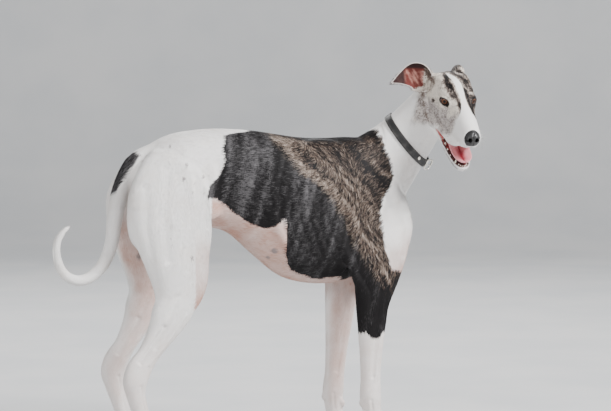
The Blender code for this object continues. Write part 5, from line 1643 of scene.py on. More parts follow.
def build_coat():
    """The short coat in thin overlapping tufts over the whole skin, one piece for each part of the body."""
    rng = np.random.default_rng(COAT_SEED)
    skin = bpy.data.objects["skin"].data
    roots, out, length, width, fields = scattered_roots(skin, rng)
    count = len(roots)
    lie, owner, along, around = hair_lie(roots)
    across = np.cross(out, lie)
    flat = np.linalg.norm(across, axis=1) / np.maximum(np.linalg.norm(lie, axis=1), 1e-9)
    side = unit(across)
    ahead = np.cross(side, out)
    stray = rng.normal(0, TUFT_STRAY, count)[:, None]
    lie = ahead * np.cos(stray) + side * np.sin(stray)
    length = length * rng.uniform(0.75, 1.2, count)
    width = width * rng.uniform(0.75, 1.25, count)
    fields["tone"] = rng.random(count)
    low, high = (np.array(HOME.inverted() @ corner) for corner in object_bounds())
    reach = roots + (lie * math.cos(TUFT_LIFT) + out * math.sin(TUFT_LIFT)) * length[:, None]
    kept = (flat > 0.35) & (reach > low + BOX_MARGIN).all(1) & (reach < high - BOX_MARGIN).all(1)
    names = list(lie_paths())
    for title, lines in COAT_PIECES.items():
        numbers = [names.index(line) for line in lines]
        mine = np.isin(owner, numbers) & kept
        tile = np.searchsorted(numbers, owner[mine], sorter=np.argsort(numbers))
        across = (tile + 0.02 + 0.94 * around[mine]) / len(numbers)
        spots = np.column_stack([across, 0.01 + 0.975 * along[mine]])
        mesh, normals = tuft_mesh(roots[mine], out[mine], lie[mine], length[mine], width[mine], spots)
        for name, values in fields.items():
            point_attribute(mesh, name, np.repeat(values[mine], 4))
        point_attribute(mesh, "root", np.repeat(roots[mine], 4, axis=0))
        piece(title, mesh, bpy.data.materials["coat"], COAT_SLOTS.get(title, "coat_white"))
        mesh.normals_split_custom_set_from_vertices(normals)


def repeat_tree(name, finish):
    """A node tree that sets an item on every point, turned and sized by the point, each a bit different."""
    tree = bpy.data.node_groups.new(name, "GeometryNodeTree")
    sockets = tree.interface.new_socket
    sockets("Points", in_out="INPUT", socket_type="NodeSocketGeometry")
    sockets("Item", in_out="INPUT", socket_type="NodeSocketObject")
    sockets("Variation", in_out="INPUT", socket_type="NodeSocketFloat")
    sockets("Seed", in_out="INPUT", socket_type="NodeSocketInt")
    sockets("Items", in_out="OUTPUT", socket_type="NodeSocketGeometry")

    def node(kind, settings=None, **links):
        made = tree.nodes.new(kind)
        for key, value in (settings or {}).items():
            setattr(made, key, value)
        for key, value in links.items():
            socket = made.inputs[key.replace("_", " ")]
            if isinstance(value, bpy.types.NodeSocket):
                tree.links.new(value, socket)
            else:
                socket.default_value = value
        return made

    given = node("NodeGroupInput").outputs
    turn = node("GeometryNodeInputNamedAttribute", {"data_type": "FLOAT_VECTOR"}, Name="turn")
    size = node("GeometryNodeInputNamedAttribute", {"data_type": "FLOAT_VECTOR"}, Name="size")
    item = node("GeometryNodeObjectInfo", Object=given["Item"])
    least = node("ShaderNodeMath", {"operation": "SUBTRACT"})
    least.inputs[0].default_value = 1.0
    tree.links.new(given["Variation"], least.inputs[1])
    draw = tree.nodes.new("FunctionNodeRandomValue")
    draw.data_type = "FLOAT"
    tree.links.new(least.outputs[0], draw.inputs[2])
    draw.inputs[3].default_value = 1.0
    tree.links.new(given["Seed"], draw.inputs["Seed"])
    scale = node("ShaderNodeVectorMath", {"operation": "SCALE"})
    tree.links.new(size.outputs["Attribute"], scale.inputs[0])
    tree.links.new(draw.outputs[1], scale.inputs["Scale"])
    placed_items = node(
        "GeometryNodeInstanceOnPoints", Points=given["Points"], Instance=item.outputs["Geometry"],
        Rotation=turn.outputs["Attribute"], Scale=scale.outputs[0])
    real = node("GeometryNodeRealizeInstances", Geometry=placed_items.outputs[0])
    dressed = node("GeometryNodeSetMaterial", Geometry=real.outputs[0], Material=finish)
    tree.links.new(dressed.outputs[0], tree.nodes.new("NodeGroupOutput").inputs[0])
    return tree


def repeated(name, item, places, finish, variation=0.0, seed=1):
    """One mesh of an item set at every place, made by Geometry Nodes; a place is a matrix."""
    item.materials.append(finish)
    pattern = new_object(name + "_item", item)
    points = bpy.data.meshes.new(name)
    points.from_pydata([place.to_translation() for place in places], [], [])
    for key, values in (("turn", [tuple(place.to_euler()) for place in places]),
                        ("size", [tuple(place.to_scale()) for place in places])):
        layer = points.attributes.new(key, "FLOAT_VECTOR", "POINT")
        layer.data.foreach_set("vector", np.ravel(values).astype(np.float32))
    host = new_object(name, points)
    tree = repeat_tree(name, finish)
    nodes = host.modifiers.new("Repeat", "NODES")
    nodes.node_group = tree
    values = {"Item": pattern, "Variation": variation, "Seed": seed}
    for socket in tree.interface.items_tree:
        if socket.name in values:
            nodes[socket.identifier] = values[socket.name]
    made = evaluated(host)
    bpy.data.objects.remove(pattern)
    return made


def horn_mesh(sides=10, rings=7, bend=0.35, blunt=0.12):
    """A curved claw or tooth of unit length along Z and unit root radius, bending towards X."""
    made = []
    for r in range(rings + 1):
        t = r / rings
        radius = (1 - t) ** 0.7 * (1 - blunt) + blunt if r < rings else blunt * 0.4
        centre = Vector((bend * t * t, 0, t))
        ring = [
            centre + Vector((radius * math.cos(a), radius * math.sin(a), 0))
            for a in (2 * math.pi * k / sides for k in range(sides))
        ]
        made.append(ring)
    return loft(made)


def stand_at(root, tip, radius, towards=Vector((0, 0, -1))):
    """The place of a unit horn with its root, tip and root radius given, bending towards a direction."""
    root, tip = Vector(root), Vector(tip)
    along = (tip - root).normalized()
    side = (towards - along * towards.dot(along)).normalized()
    axes = Matrix((side, along.cross(side), along)).transposed().to_4x4()
    length = (tip - root).length
    return Matrix.Translation(root) @ axes @ Matrix.Diagonal((radius, radius, length, 1))


def eye_finish(colours):
    """An iris with fibres round a dark pupil, a dark ring at its edge and a little white beyond."""
    eye = Finish("eye", Roughness=0.30)
    eye.feed(eye.shader, {"Coat_Weight": 0.35, "Coat_Roughness": 0.03, "Specular_IOR_Level": 0.1})
    uv = eye.node("ShaderNodeUVMap", {"uv_map": "iris"})
    turn, ring, _ = eye.parts(uv)
    angle = turn * (2 * math.pi)
    spokes = eye.noise(eye.vector(angle.math("COSINE") * 9.0, angle.math("SINE") * 9.0, ring * 3.0), 1.0, 3.0)
    colour = eye.mix(colours.iris_dark, colours.iris_light, (spokes + ring * 0.4).rise(0.45, 0.85))
    colour = eye.mix(colour, (0.0012, 0.0010, 0.0010), ring.rise(0.38, 0.33))
    colour = eye.mix(colour, (0.010, 0.006, 0.005), ring.rise(0.72, 0.84))
    veins = eye.noise(eye.vector(angle.math("COSINE") * 4.0, angle.math("SINE") * 4.0, ring * 6.0), 1.0, 4.0)
    white = eye.mix((0.42, 0.30, 0.26), (0.38, 0.10, 0.08), veins.rise(0.5, 0.7))
    colour = eye.mix(colour, white, ring.rise(0.98, 1.06))
    return eye.surface(Base_Color=colour, Normal=eye.bump(spokes, 0.0002, 0.15))


def eye_mesh(side):
    """An eyeball with its cornea's bulge, and a map of turn and distance from the pupil."""
    mesh = bpy.data.meshes.new("eye")
    rings, around = EYE_RINGS, EYE_SIDES
    points, faces = [], []
    for r in range(rings + 1):
        polar = math.pi * r / rings
        radius = EYE_RADIUS - EYE_GAP + CORNEA_RISE * math.exp(-((polar / CORNEA_SPREAD) ** 4))
        for k in range(around):
            turn = 2 * math.pi * k / around
            points.append((radius * math.cos(polar), radius * math.sin(polar) * math.cos(turn),
                           radius * math.sin(polar) * math.sin(turn)))
    for r in range(rings):
        for k in range(around):
            a, b = r * around + k, r * around + (k + 1) % around
            faces.append((a, b, b + around, a + around))
    mesh.from_pydata(points, [], faces)
    layer = mesh.uv_layers.new(name="iris")
    for polygon in mesh.polygons:
        k = polygon.index % around
        r = polygon.index // around
        corners = ((r, k), (r, k + 1), (r + 1, k + 1), (r + 1, k))
        for loop, (row, column) in zip(polygon.loop_indices, corners):
            layer.data[loop].uv = (column / around, math.pi * row / rings / IRIS_ANGLE)
    edited(mesh, lambda work: bmesh.ops.remove_doubles(work, verts=work.verts, dist=1e-6))
    return placed(facing_out(mesh), eye_place(side))


def closed_tube(path, radii, sides=10):
    """A closed loop of tube through points, each with its own radius."""
    count = len(path)
    points, faces = [], []
    for i in range(count):
        ahead = (path[(i + 1) % count] - path[i - 1]).normalized()
        side = ahead.orthogonal().normalized() if i == 0 else (side - ahead * side.dot(ahead)).normalized()
        up = ahead.cross(side)
        for k in range(sides):
            turn = 2 * math.pi * k / sides
            points.append(path[i] + (side * math.cos(turn) + up * math.sin(turn)) * radii[i])
    for i in range(count):
        here, there = i * sides, ((i + 1) % count) * sides
        for k in range(sides):
            j = (k + 1) % sides
            faces.append((here + k, here + j, there + j, there + k))
    return facing_out(polygon_mesh("loop", points, faces))


def lid_rim_mesh(side):
    """The dark wet edge of the lids, fuller along the upper lid."""
    outline = lid_outline(grow=0.0002, count=56)
    distance = (EYE_RADIUS + LID_RADIUS) / 2
    path = [Vector((math.sqrt(distance**2 - a * a - u * u), a, u)) for a, u in outline]
    radii = [0.00125 if u > 0 else 0.00105 for _, u in outline]
    return placed(closed_tube(path, radii), lid_place(side))


def lid_rim_finish():
    rim = Finish("lid_rim", Roughness=0.25)
    place = rim.object_place()
    spots = rim.noise(place, 500.0, 2.0)
    colour = rim.mix((0.012, 0.008, 0.008), (0.06, 0.03, 0.028), spots.rise(0.45, 0.75))
    return rim.surface(Base_Color=colour, Normal=rim.bump(spots, 0.0003, 0.3))


def build_eyes(colours):
    finish = eye_finish(colours)
    for name, side in SIDES.items():
        piece("eyeball_" + name, eye_mesh(side), finish, "eye", replaces=("eye_" + name,))
    piece("lid_rims", joined([lid_rim_mesh(side) for side in SIDES.values()]), lid_rim_finish(), "eye")


def nose_mesh():
    """The nose pad with open nostrils, their side slits, the wings above them and the groove between."""
    pad = cut_by(head_form(), [nose_room()], "INTERSECT")
    holes = [
        placed(
            ellipsoid_mesh(mirrored(start, side), mirrored(end, side), wide, thick, segments=24),
            head_place())
        for start, end, wide, thick in (NOSTRIL, NOSTRIL_SLIT)
        for side in SIDES.values()
    ]
    for hole in holes:
        pad = cut_by(pad, [hole.copy()])
    pad = fused([pad], NOSE_VOXEL, 5, even_softness)
    points, normals = coordinates(pad), vertex_normals(pad)
    local, turned = in_head(points), normals @ HEAD_AXES
    front = np.column_stack([local[:, 1], local[:, 0], local[:, 2]])
    flat = np.column_stack([turned[:, 1], turned[:, 0], turned[:, 2]])
    both = front.copy()
    both[:, 0] = np.abs(both[:, 0])
    ahead = np.array((0.0, 1.0, 0.0))
    lift = relief(front, flat, [PHILTRUM], ahead) + relief(both, flat, [WING_GROOVE, NOSE_WING], ahead)
    points += normals * (lift - 0.0008)[:, None]
    pad.vertices.foreach_set("co", points.ravel())
    pad.update()
    gaps = np.min([distance_to(hole, points, 0.004) for hole in holes], axis=0)
    # Painted shade: the deep value marks the insides of the nostrils, which the nose's finish darkens
    point_attribute(pad, "deep", np.clip((0.0014 - gaps) / 0.0008, 0, 1) * (local[:, 0] < 0.1275))
    return pad


def nose_finish():
    """Black pebbled leather, moist in front, with painted shade darkening the insides of the nostrils."""
    nose = Finish("nose_leather", Roughness=0.34)
    nose.feed(nose.shader, {"Coat_Roughness": 0.18})
    # The nostrils' painted shade
    deep = nose.attribute("deep")
    place = nose.object_place()
    cells = nose.cells(place, 620.0)
    soft = nose.noise(place, 260.0, 2.0)
    colour = nose.mix((0.0032, 0.0030, 0.0032), (0.013, 0.012, 0.0125), (cells + soft * 0.5).rise(0.45, 0.95))
    height = cells * -0.8 + soft * 0.6
    return nose.surface(
        Base_Color=nose.mix(colour, (0.001, 0.0008, 0.0008), deep),
        Roughness=(0.30 + soft * 0.22).most(deep),
        Coat_Weight=0.30 * (1 - deep),
        Normal=nose.bump(height, 0.0009, 0.55),
    )


def tongue_mesh():
    """The cupped tongue with its raised edges and the groove down its middle."""
    rings = []
    for x, z, half, depth, hollow in smooth_rows(TONGUE, steps=8):
        ring = []
        for k in range(64):
            angle = 2 * math.pi * k / 64
            high = math.sin(angle) > 0
            height = math.sin(angle) * depth * (0.55 if high else 1.0)
            sink = hollow * (1 - math.cos(angle) ** 2) if high else 0.4 * hollow * math.sin(angle) ** 2
            across = half * math.cos(angle)
            groove = 0.0022 * math.exp(-((across / 0.0024) ** 2)) * (half > 0.008) if high else 0.0
            ring.append(Vector((x, across, z + height - sink - groove)))
        rings.append(ring)
    return placed(loft(rings), jaw_place())


def tongue_finish(colours):
    tongue = Finish("tongue", Roughness=0.36)
    tongue.feed(tongue.shader, {"Subsurface_Weight": 0.15, "Subsurface_Radius": (0.006, 0.002, 0.001)})
    place = tongue.object_place()
    jaw = tongue.moved(place, -(HOME @ jaw_place()).translation)
    ahead, left = [tongue.dot(jaw, jaw_place().col[i][:3]) for i in range(2)]
    buds = tongue.cells(place, 900.0)
    blotch = tongue.noise(place, 90.0, 3.0)
    # Painted shade: darker red in the hollow behind the tip, towards the back of the mouth and down the
    # middle groove, broken by blotches
    hollow = left.size().rise(0.0150, 0.0010) * ahead.rise(0.040, 0.070) * ahead.rise(0.104, 0.088)
    deep = (hollow * 0.9 + ahead.rise(0.055, 0.0) * 0.8).least(1.0)
    groove = left.size().rise(0.0030, 0.0006) * 0.5
    deep = (deep * (0.75 + blotch * 0.6) + groove).least(1.0)
    colour = tongue.mix(colours.tongue_pink, colours.tongue_red_and_shade, deep)
    colour = tongue.mix(colour, (0.86, 0.50, 0.52), (buds.rise(0.30, 0.10) * 0.35))
    return tongue.surface(Base_Color=colour, Roughness=0.28 + blotch * 0.2,
                          Normal=tongue.bump(buds * -1.0 + blotch, 0.0006, 0.4))


def tooth_finish():
    tooth = Finish("tooth_enamel", Roughness=0.22)
    tooth.feed(tooth.shader, {"Coat_Weight": 0.3, "Coat_Roughness": 0.08})
    place = tooth.object_place()
    stain = tooth.noise(place, 160.0, 3.0)
    colour = tooth.mix((0.80, 0.76, 0.66), (0.60, 0.50, 0.34), stain.rise(0.48, 0.75))
    return tooth.surface(Base_Color=colour, Normal=tooth.bump(stain, 0.0003, 0.2))


def tooth_places():
    """Every tooth that the open mouth shows, with its root in the gum."""
    for side in SIDES.values():
        for rows, gum, down, place in (
            (UPPER_TEETH, UPPER_GUM, -1.0, head_place()), (LOWER_TEETH, LOWER_GUM, 1.0, jaw_place()),
        ):
            for x, y, length, radius in rows:
                root = place @ Vector((x, side * y, gum - down * 0.004))
                tip = place @ Vector((x - 0.0008, side * y, gum + down * length))
                back = place.to_3x3() @ Vector((-1, 0, 0))
                yield stand_at(root, tip, radius, back)


def build_mouth(colours):
    piece("nose_pad", nose_mesh(), nose_finish(), "nose_leather", replaces=("nose",))
    piece("tongue_flesh", tongue_mesh(), tongue_finish(colours), "tongue", replaces=("tongue",))
    enamel = tooth_finish()
    teeth = repeated("teeth", horn_mesh(12, 6, 0.10, 0.30), list(tooth_places()), enamel, 0.08, 5)
    piece("teeth", teeth, enamel, "eye")


def whisker_mesh(tree, side, root, offset, rng):
    """One bent, tapered hair from the skin outwards."""
    head = head_place()
    start = tree.find_nearest(head @ mirrored(root, side))[0]
    run = head.to_3x3() @ (mirrored(offset, side) * rng.uniform(0.8, 1.2))
    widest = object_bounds()[1].x - BOX_MARGIN - WHISKER_RADIUS
    while (HOME @ (start + run)).x > widest:
        run *= 0.85
    sag = Vector((0, 0, -0.22 * run.length))
    path = [start - run * 0.06 + run * t + sag * t * t for t in (0.0, 0.25, 0.5, 0.75, 1.0)]
    radii = [WHISKER_RADIUS * share for share in (1, 0.9, 0.7, 0.45, 0.12)]
    return tube_mesh([(p, r, r) for p, r in zip(path, radii)], 1, 5, Vector((0, 0, 1)))


def build_whiskers():
    rng = np.random.default_rng(WHISKER_SEED)
    tree = skin_tree()
    hairs = [whisker_mesh(tree, side, *hair, rng) for side in SIDES.values() for hair in WHISKERS]
    whisker = Finish("whisker", Roughness=0.45)
    shade = whisker.noise(whisker.object_place(), 60.0, 1.0)
    whisker.surface(Base_Color=whisker.mix((0.80, 0.77, 0.72), (0.10, 0.08, 0.07), shade.rise(0.55, 0.62)))
    piece("whiskers", joined(hairs), whisker.material, "coat_white")


def skin_tree():
    """The finished skin for nearest points and rays, in the dog's own frame."""
    skin = bpy.data.objects["skin"].data
    return BVHTree.FromPolygons([HOME.inverted() @ v.co for v in skin.vertices],
                                [tuple(p.vertices) for p in skin.polygons])


def claw_places():
    """Sixteen claws in front of the toes, each standing on the floor's side of its toe."""
    for _, side, stations, lean, start in legs():
        root = paw_root(stations, side, lean, start)
        for spread, lead in toe_places():
            base = toe_tip(root, spread, lead) + Vector((0.0005, 0, 0.0005))
            tip = base + Vector((CLAW_LENGTH * 0.86, spread * 0.1, -CLAW_LENGTH * 0.52))
            yield stand_at(base, tip, CLAW_RADIUS)


def claw_finish():
    claw = Finish("claw_horn", Roughness=0.34)
    place = claw.object_place()
    streak = claw.noise(claw.scaled(place, (60.0, 500.0, 500.0)), 1.0, 3.0)
    colour = claw.mix((0.34, 0.24, 0.19), (0.030, 0.022, 0.020), streak.rise(0.35, 0.62))
    return claw.surface(Base_Color=colour, Normal=claw.bump(streak, 0.0004, 0.3))


def build_claws():
    horn = claw_finish()
    claws = repeated("claws", horn_mesh(bend=0.55), list(claw_places()), horn, 0.10, 3)
    piece("claws", claws, horn, "nose_leather")


def collar_place():
    """The collar's frame: X along the neck towards the head, Y to the dog's left, Z to the nape."""
    centre = Vector(row_at(NECK, COLLAR_STATION)[:3])
    ahead = Vector(row_at(NECK, COLLAR_STATION + 0.1)[:3]) - Vector(row_at(NECK, COLLAR_STATION - 0.1)[:3])
    ahead.normalize()
    side = (LEVEL - ahead * LEVEL.dot(ahead)).normalized()
    axes = Matrix((ahead, side, ahead.cross(side))).transposed().to_4x4()
    hang = Matrix.Rotation(COLLAR_TILT, 4, "Y") @ Matrix.Rotation(COLLAR_TWIST, 4, "Z")
    return Matrix.Translation(centre) @ axes @ hang


def round_angle(k):
    angle = 2 * math.pi * k / COLLAR_STEPS
    return Vector((0, math.cos(angle), math.sin(angle)))


def neck_radii(tree, along):
    """How far the skin is from the collar's middle all round, eased as a strap would lie."""
    start = collar_place() @ Vector((along, 0, 0))
    turn = collar_place().to_3x3()
    radii = np.array([tree.ray_cast(start, turn @ round_angle(k))[3] for k in range(COLLAR_STEPS)])
    for _ in range(30):
        radii = (np.roll(radii, 1) + 2 * radii + np.roll(radii, -1)) / 4
    return radii


def strap_profile(half, low, high, corner=0.0011, steps=4):
    """A rounded rectangle across the strap: along the neck and off it."""
    made = []
    for along, off, start in ((half, high, 0), (-half, high, 90), (-half, low, 180), (half, low, 270)):
        middle = (along - math.copysign(corner, along), off - corner if off == high else off + corner)
        for step in range(steps + 1):
            angle = math.radians(start + 90 * step / steps)
            made.append((middle[0] + corner * math.cos(angle), middle[1] + corner * math.sin(angle)))
    return made


def strap_mesh(edges, profile, first=0, last=None):
    """A strap round the neck, closed on itself or ending at two steps."""
    half = COLLAR_WIDTH / 2
    rings = []
    for k in range(first, COLLAR_STEPS if last is None else last + 1):
        ring = []
        for along, off in profile:
            share = (along / half + 1) / 2
            radius = edges[0][k % COLLAR_STEPS] * (1 - share) + edges[1][k % COLLAR_STEPS] * share
            ring.append(collar_place() @ (round_angle(k) * (radius + off) + Vector((along, 0, 0))))
        rings.append(ring)
    if last is not None:
        return loft(rings)
    count = len(profile)
    points = [p for ring in rings for p in ring]
    faces = grid_faces(len(rings), count, rows_close=True)
    return facing_out(polygon_mesh("strap", points, faces))


def strap_step(angle):
    """The collar's step at an angle from the dog's right side, down towards the throat."""
    return round((math.pi - angle) / (2 * math.pi) * COLLAR_STEPS) % COLLAR_STEPS


def on_strap(edges, step, off, along=0.0):
    """A frame on the strap: X across it, Y along it, Z outwards."""
    radii = (edges[0] + edges[1]) / 2
    before, here, after = [round_angle(i) * radii[i % COLLAR_STEPS] for i in (step - 2, step, step + 2)]
    run = (after - before).normalized()
    slope = edges[1][step % COLLAR_STEPS] - edges[0][step % COLLAR_STEPS]
    across = (Vector((COLLAR_WIDTH, 0, 0)) + round_angle(step) * slope).normalized()
    out = across.cross(run)
    if out.dot(here) < 0:
        run, out = -run, -out
    axes = Matrix((across, run, out)).transposed().to_4x4()
    return collar_place() @ Matrix.Translation(here + out * off + across * along) @ axes


def wire_loop(width, length, corner, radius):
    """A rounded rectangle of wire, lying flat and centred on the origin."""
    path = []
    for cx, cy, start in ((1, 1, 0), (-1, 1, 90), (-1, -1, 180), (1, -1, 270)):
        middle = Vector((cx * (width / 2 - corner), cy * (length / 2 - corner), 0))
        for step in range(9):
            angle = math.radians(start + 90 * step / 8)
            path.append(middle + Vector((math.cos(angle), math.sin(angle), 0)) * corner)
    return closed_tube(path, [radius] * len(path), 16)


def leather_finish(colours):
    """Black-brown strap leather: pores, creases and rubbed patches, by the strap's own coordinates."""
    leather = Finish("collar_leather", Roughness=0.48)
    leather.feed(leather.shader, {"Specular_IOR_Level": 0.45})
    place = leather.object_place()
    pores = leather.cells(place, 1500.0)
    crease = leather.noise(place, 240.0, 4.0)
    wear = leather.noise(place, 55.0, 3.0)
    colour = leather.mix(colours.leather, colours.leather_worn, (wear + crease * 0.4).rise(0.62, 0.92))
    return leather.surface(
        Base_Color=colour,
        Roughness=0.38 + wear * 0.22,
        Normal=leather.bump(pores * 0.6 + crease, 0.0007, 0.35),
    )


def metal_finish():
    metal = Finish("collar_metal", Metallic=1.0)
    place = metal.object_place()
    scratch = metal.noise(metal.scaled(place, (900.0, 140.0, 900.0)), 1.0, 3.0)
    dull = metal.noise(place, 130.0, 2.0)
    colour = metal.mix((0.74, 0.71, 0.64), (0.44, 0.40, 0.34), (dull + scratch * 0.3).rise(0.6, 0.9))
    worn = metal.bump(scratch, 0.0003, 0.2)
    return metal.surface(Base_Color=colour, Roughness=0.18 + dull * 0.25, Normal=worn)


def build_collar(colours):
    """The strap with its tail, keeper, holes and stitches, the buckle and the rivet."""
    tree = skin_tree()
    half = COLLAR_WIDTH / 2
    edges = [neck_radii(tree, -half), neck_radii(tree, half)]
    buckle_step = strap_step(BUCKLE_ANGLE)
    leather = leather_finish(colours)
    strap = strap_mesh(edges, strap_profile(half, COLLAR_INNER, COLLAR_OUTER))
    tail_start, tail_end = (buckle_step + step for step in TAIL_STEPS)
    tail_top = COLLAR_OUTER + TAIL_THICKNESS
    outline = strap_profile(half * 0.96, COLLAR_OUTER + 0.0001, tail_top)
    tail = strap_mesh(edges, outline, tail_start, tail_end)
    punch = [((0, 0, height), HOLE_RADIUS, HOLE_RADIUS) for height in (-0.0016, 0.0, 0.002)]
    holes = [
        placed(tube_mesh(punch, 1, 16), on_strap(edges, strap_step(angle), tail_top))
        for angle in HOLE_ANGLES
    ]
    keeper = keeper_mesh(edges, buckle_step)
    piece("collar_strap", joined([strap, cut_by(tail, holes), keeper]), leather, "collar_leather",
          replaces=("collar_band",))
    metal = metal_finish()
    length = BUCKLE_SIZE[0] / 2
    hinge = Matrix.Translation((0, length, 0))
    lean = hinge @ Matrix.Rotation(BUCKLE_LEAN, 4, "X") @ hinge.inverted()
    ring = wire_loop(BUCKLE_SIZE[1], BUCKLE_SIZE[0], 0.0055, BUCKLE_WIRE)
    prong = tube_mesh([((0, -length - 0.001, 0.0008), 0.0013, 0.0015), ((0, 0, 0.0022), 0.0012, 0.0014),
                       ((0, length + 0.001, 0.0024), 0.0007, 0.0010)], 8, 14, Vector((1, 0, 0)))
    lift = COLLAR_OUTER + BUCKLE_WIRE + 0.0009
    buckle = placed(joined([ring, prong]), on_strap(edges, buckle_step, lift) @ lean)
    piece("buckle", buckle, metal, "collar_metal", replaces=("collar_buckle",))
    dome = placed(ball(RIVET_RADIUS, 24), Matrix.Diagonal((1, 1, 0.34, 1)))
    rivet = placed(dome, on_strap(edges, strap_step(RIVET_ANGLE), COLLAR_OUTER))
    piece("rivet", rivet, metal, "collar_metal", replaces=("collar_rivet",))
    thread = Finish("collar_thread", Roughness=0.7)
    fibre = thread.noise(thread.object_place(), 2500.0, 2.0)
    thread.surface(Base_Color=thread.mix((0.05, 0.045, 0.04), (0.14, 0.12, 0.10), fibre))
    stitch = ellipsoid_mesh((0, -0.0014, 0), (0, 0.0014, 0), 0.0004, 0.00032, Vector((0, 0, 1)), 8)
    stitch.shade_smooth()
    radius = float(np.mean(edges))
    count = round(2 * math.pi * radius / STITCH_SPACING)
    places = []
    for row in (-1, 1):
        for i in range(count):
            step = round(i * COLLAR_STEPS / count)
            under_tail = buckle_step <= step % COLLAR_STEPS <= tail_end
            off = tail_top if under_tail else COLLAR_OUTER
            places.append(on_strap(edges, step, off, row * (half - STITCH_INSET)))
    stitches = repeated("collar_stitches", stitch, places, thread.material, 0.12, 2)
    piece("collar_stitches", stitches, thread.material, "collar_leather")


def keeper_mesh(edges, step):
    """The keeper: a narrow leather loop over the strap and its tail."""
    half = COLLAR_WIDTH / 2 + KEEPER_GAP
    profile = []
    for out in (0.0, KEEPER_WALL):
        for along, off in strap_profile(half + out, 0.0004, COLLAR_OUTER + 0.0030 + out, 0.0020):
            profile.append((along, off))
    inner, outer = profile[: len(profile) // 2], profile[len(profile) // 2 :]
    points, faces = [], []
    for k in (step + KEEPER_STEPS[0], step + KEEPER_STEPS[1]):
        for ring in (inner, outer):
            for along, off in ring:
                radius = (edges[0][k % COLLAR_STEPS] + edges[1][k % COLLAR_STEPS]) / 2
                points.append(collar_place() @ (round_angle(k) * (radius + off) + Vector((along, 0, 0))))
    count = len(inner)
    near_in, near_out, far_in, far_out = (i * count for i in range(4))
    for i in range(count):
        j = (i + 1) % count
        faces += [
            (near_in + i, near_in + j, far_in + j, far_in + i),
            (near_out + i, far_out + i, far_out + j, near_out + j),
            (near_in + i, near_out + i, near_out + j, near_in + j),
            (far_in + i, far_in + j, far_out + j, far_out + i),
        ]
    return facing_out(polygon_mesh("keeper", points, faces))


class GreyhoundMarkings(bpy.types.PropertyGroup):
    """Colours of the coat and skin."""

    white: FloatVectorProperty(name="White", description="White hair", subtype="COLOR",
                               default=(0.90, 0.88, 0.86))
    cream: FloatVectorProperty(name="Cream", description="White hair over pink skin", subtype="COLOR",
                               default=(0.86, 0.80, 0.75))
    skin_pink: FloatVectorProperty(name="Skin", description="Thinly haired skin", subtype="COLOR",
                                   default=(0.465, 0.250, 0.190))
    brindle_dark: FloatVectorProperty(name="Brindle dark", description="Black stripes", subtype="COLOR",
                                      default=(0.0075, 0.0065, 0.0070))
    brindle_brown: FloatVectorProperty(name="Brindle brown", description="Brown stripes", subtype="COLOR",
                                       default=(0.118, 0.082, 0.063))
    # The flank's grey stripes, darkened and cooled as painted shade
    brindle_grey_shaded: FloatVectorProperty(name="Brindle grey", description="Lighter hair on the flank",
                                      subtype="COLOR", default=(0.128, 0.122, 0.126))
    # The shoulder's tan flecks, lightened as painted sunlight
    brindle_tan_sunlit: FloatVectorProperty(name="Brindle tan", description="Lighter hair on the shoulder",
                                     subtype="COLOR", default=(0.37, 0.305, 0.255))
    ticked_pale: FloatVectorProperty(name="Ticked pale", description="Pale hair of the head", subtype="COLOR",
                                     default=(0.78, 0.71, 0.62))
    ticked_grey: FloatVectorProperty(name="Ticked grey",
                                     description="Grey hair of the cheeks", subtype="COLOR",
                                     default=(0.60, 0.55, 0.53))
    ticked_dark: FloatVectorProperty(name="Ticked dark", description="Dark hair of the head", subtype="COLOR",
                                     default=(0.20, 0.155, 0.135))
    ticking: FloatVectorProperty(name="Spots", description="Spots in the white", subtype="COLOR",
                                 default=(0.22, 0.19, 0.19))
    gum_pink: FloatVectorProperty(name="Gums", description="The mouth's lining", subtype="COLOR",
                                  default=(0.52, 0.13, 0.12))
    gum_dark: FloatVectorProperty(name="Lip edge", description="The dark edge of the lips", subtype="COLOR",
                                  default=(0.045, 0.022, 0.022))
    ear_pink: FloatVectorProperty(name="Ear", description="The inside of the ear", subtype="COLOR",
                                  default=(0.56, 0.27, 0.22))
    # Dark red of the ear's hollows, painted as shade
    ear_red_and_shade: FloatVectorProperty(name="Ear deep", description="The depth of the ear", subtype="COLOR",
                                  default=(0.150, 0.036, 0.030))
    pad: FloatVectorProperty(name="Pads", description="The skin of the pads", subtype="COLOR",
                             default=(0.085, 0.058, 0.055))
    # Dark brown of the folded tip, partly painted shade, also painted as the shadow under the cup's top rim
    ear_brown_and_shade: FloatVectorProperty(name="Ear flap", description="The folded tip of the ear", subtype="COLOR",
                                   default=(0.034, 0.018, 0.018))


class GreyhoundDetails(bpy.types.PropertyGroup):
    """Colours of the eyes, the tongue and the collar."""

    iris_light: FloatVectorProperty(name="Iris", description="Amber of the iris", subtype="COLOR",
                                    default=(0.190, 0.082, 0.045))
    iris_dark: FloatVectorProperty(name="Iris dark", description="Brown of the iris", subtype="COLOR",
                                   default=(0.070, 0.025, 0.012))
    tongue_pink: FloatVectorProperty(name="Tongue", description="Edges of the tongue", subtype="COLOR",
                                     default=(0.80, 0.33, 0.36))
    # The dark red painted as shade in the tongue's hollow and groove
    tongue_red_and_shade: FloatVectorProperty(name="Tongue deep", description="The tongue's hollow", subtype="COLOR",
                                     default=(0.25, 0.022, 0.034))
    leather: FloatVectorProperty(name="Leather", description="The collar's leather", subtype="COLOR",
                                 default=(0.0075, 0.0070, 0.0075))
    leather_worn: FloatVectorProperty(name="Worn leather", description="Rubbed leather", subtype="COLOR",
                                      default=(0.050, 0.047, 0.046))


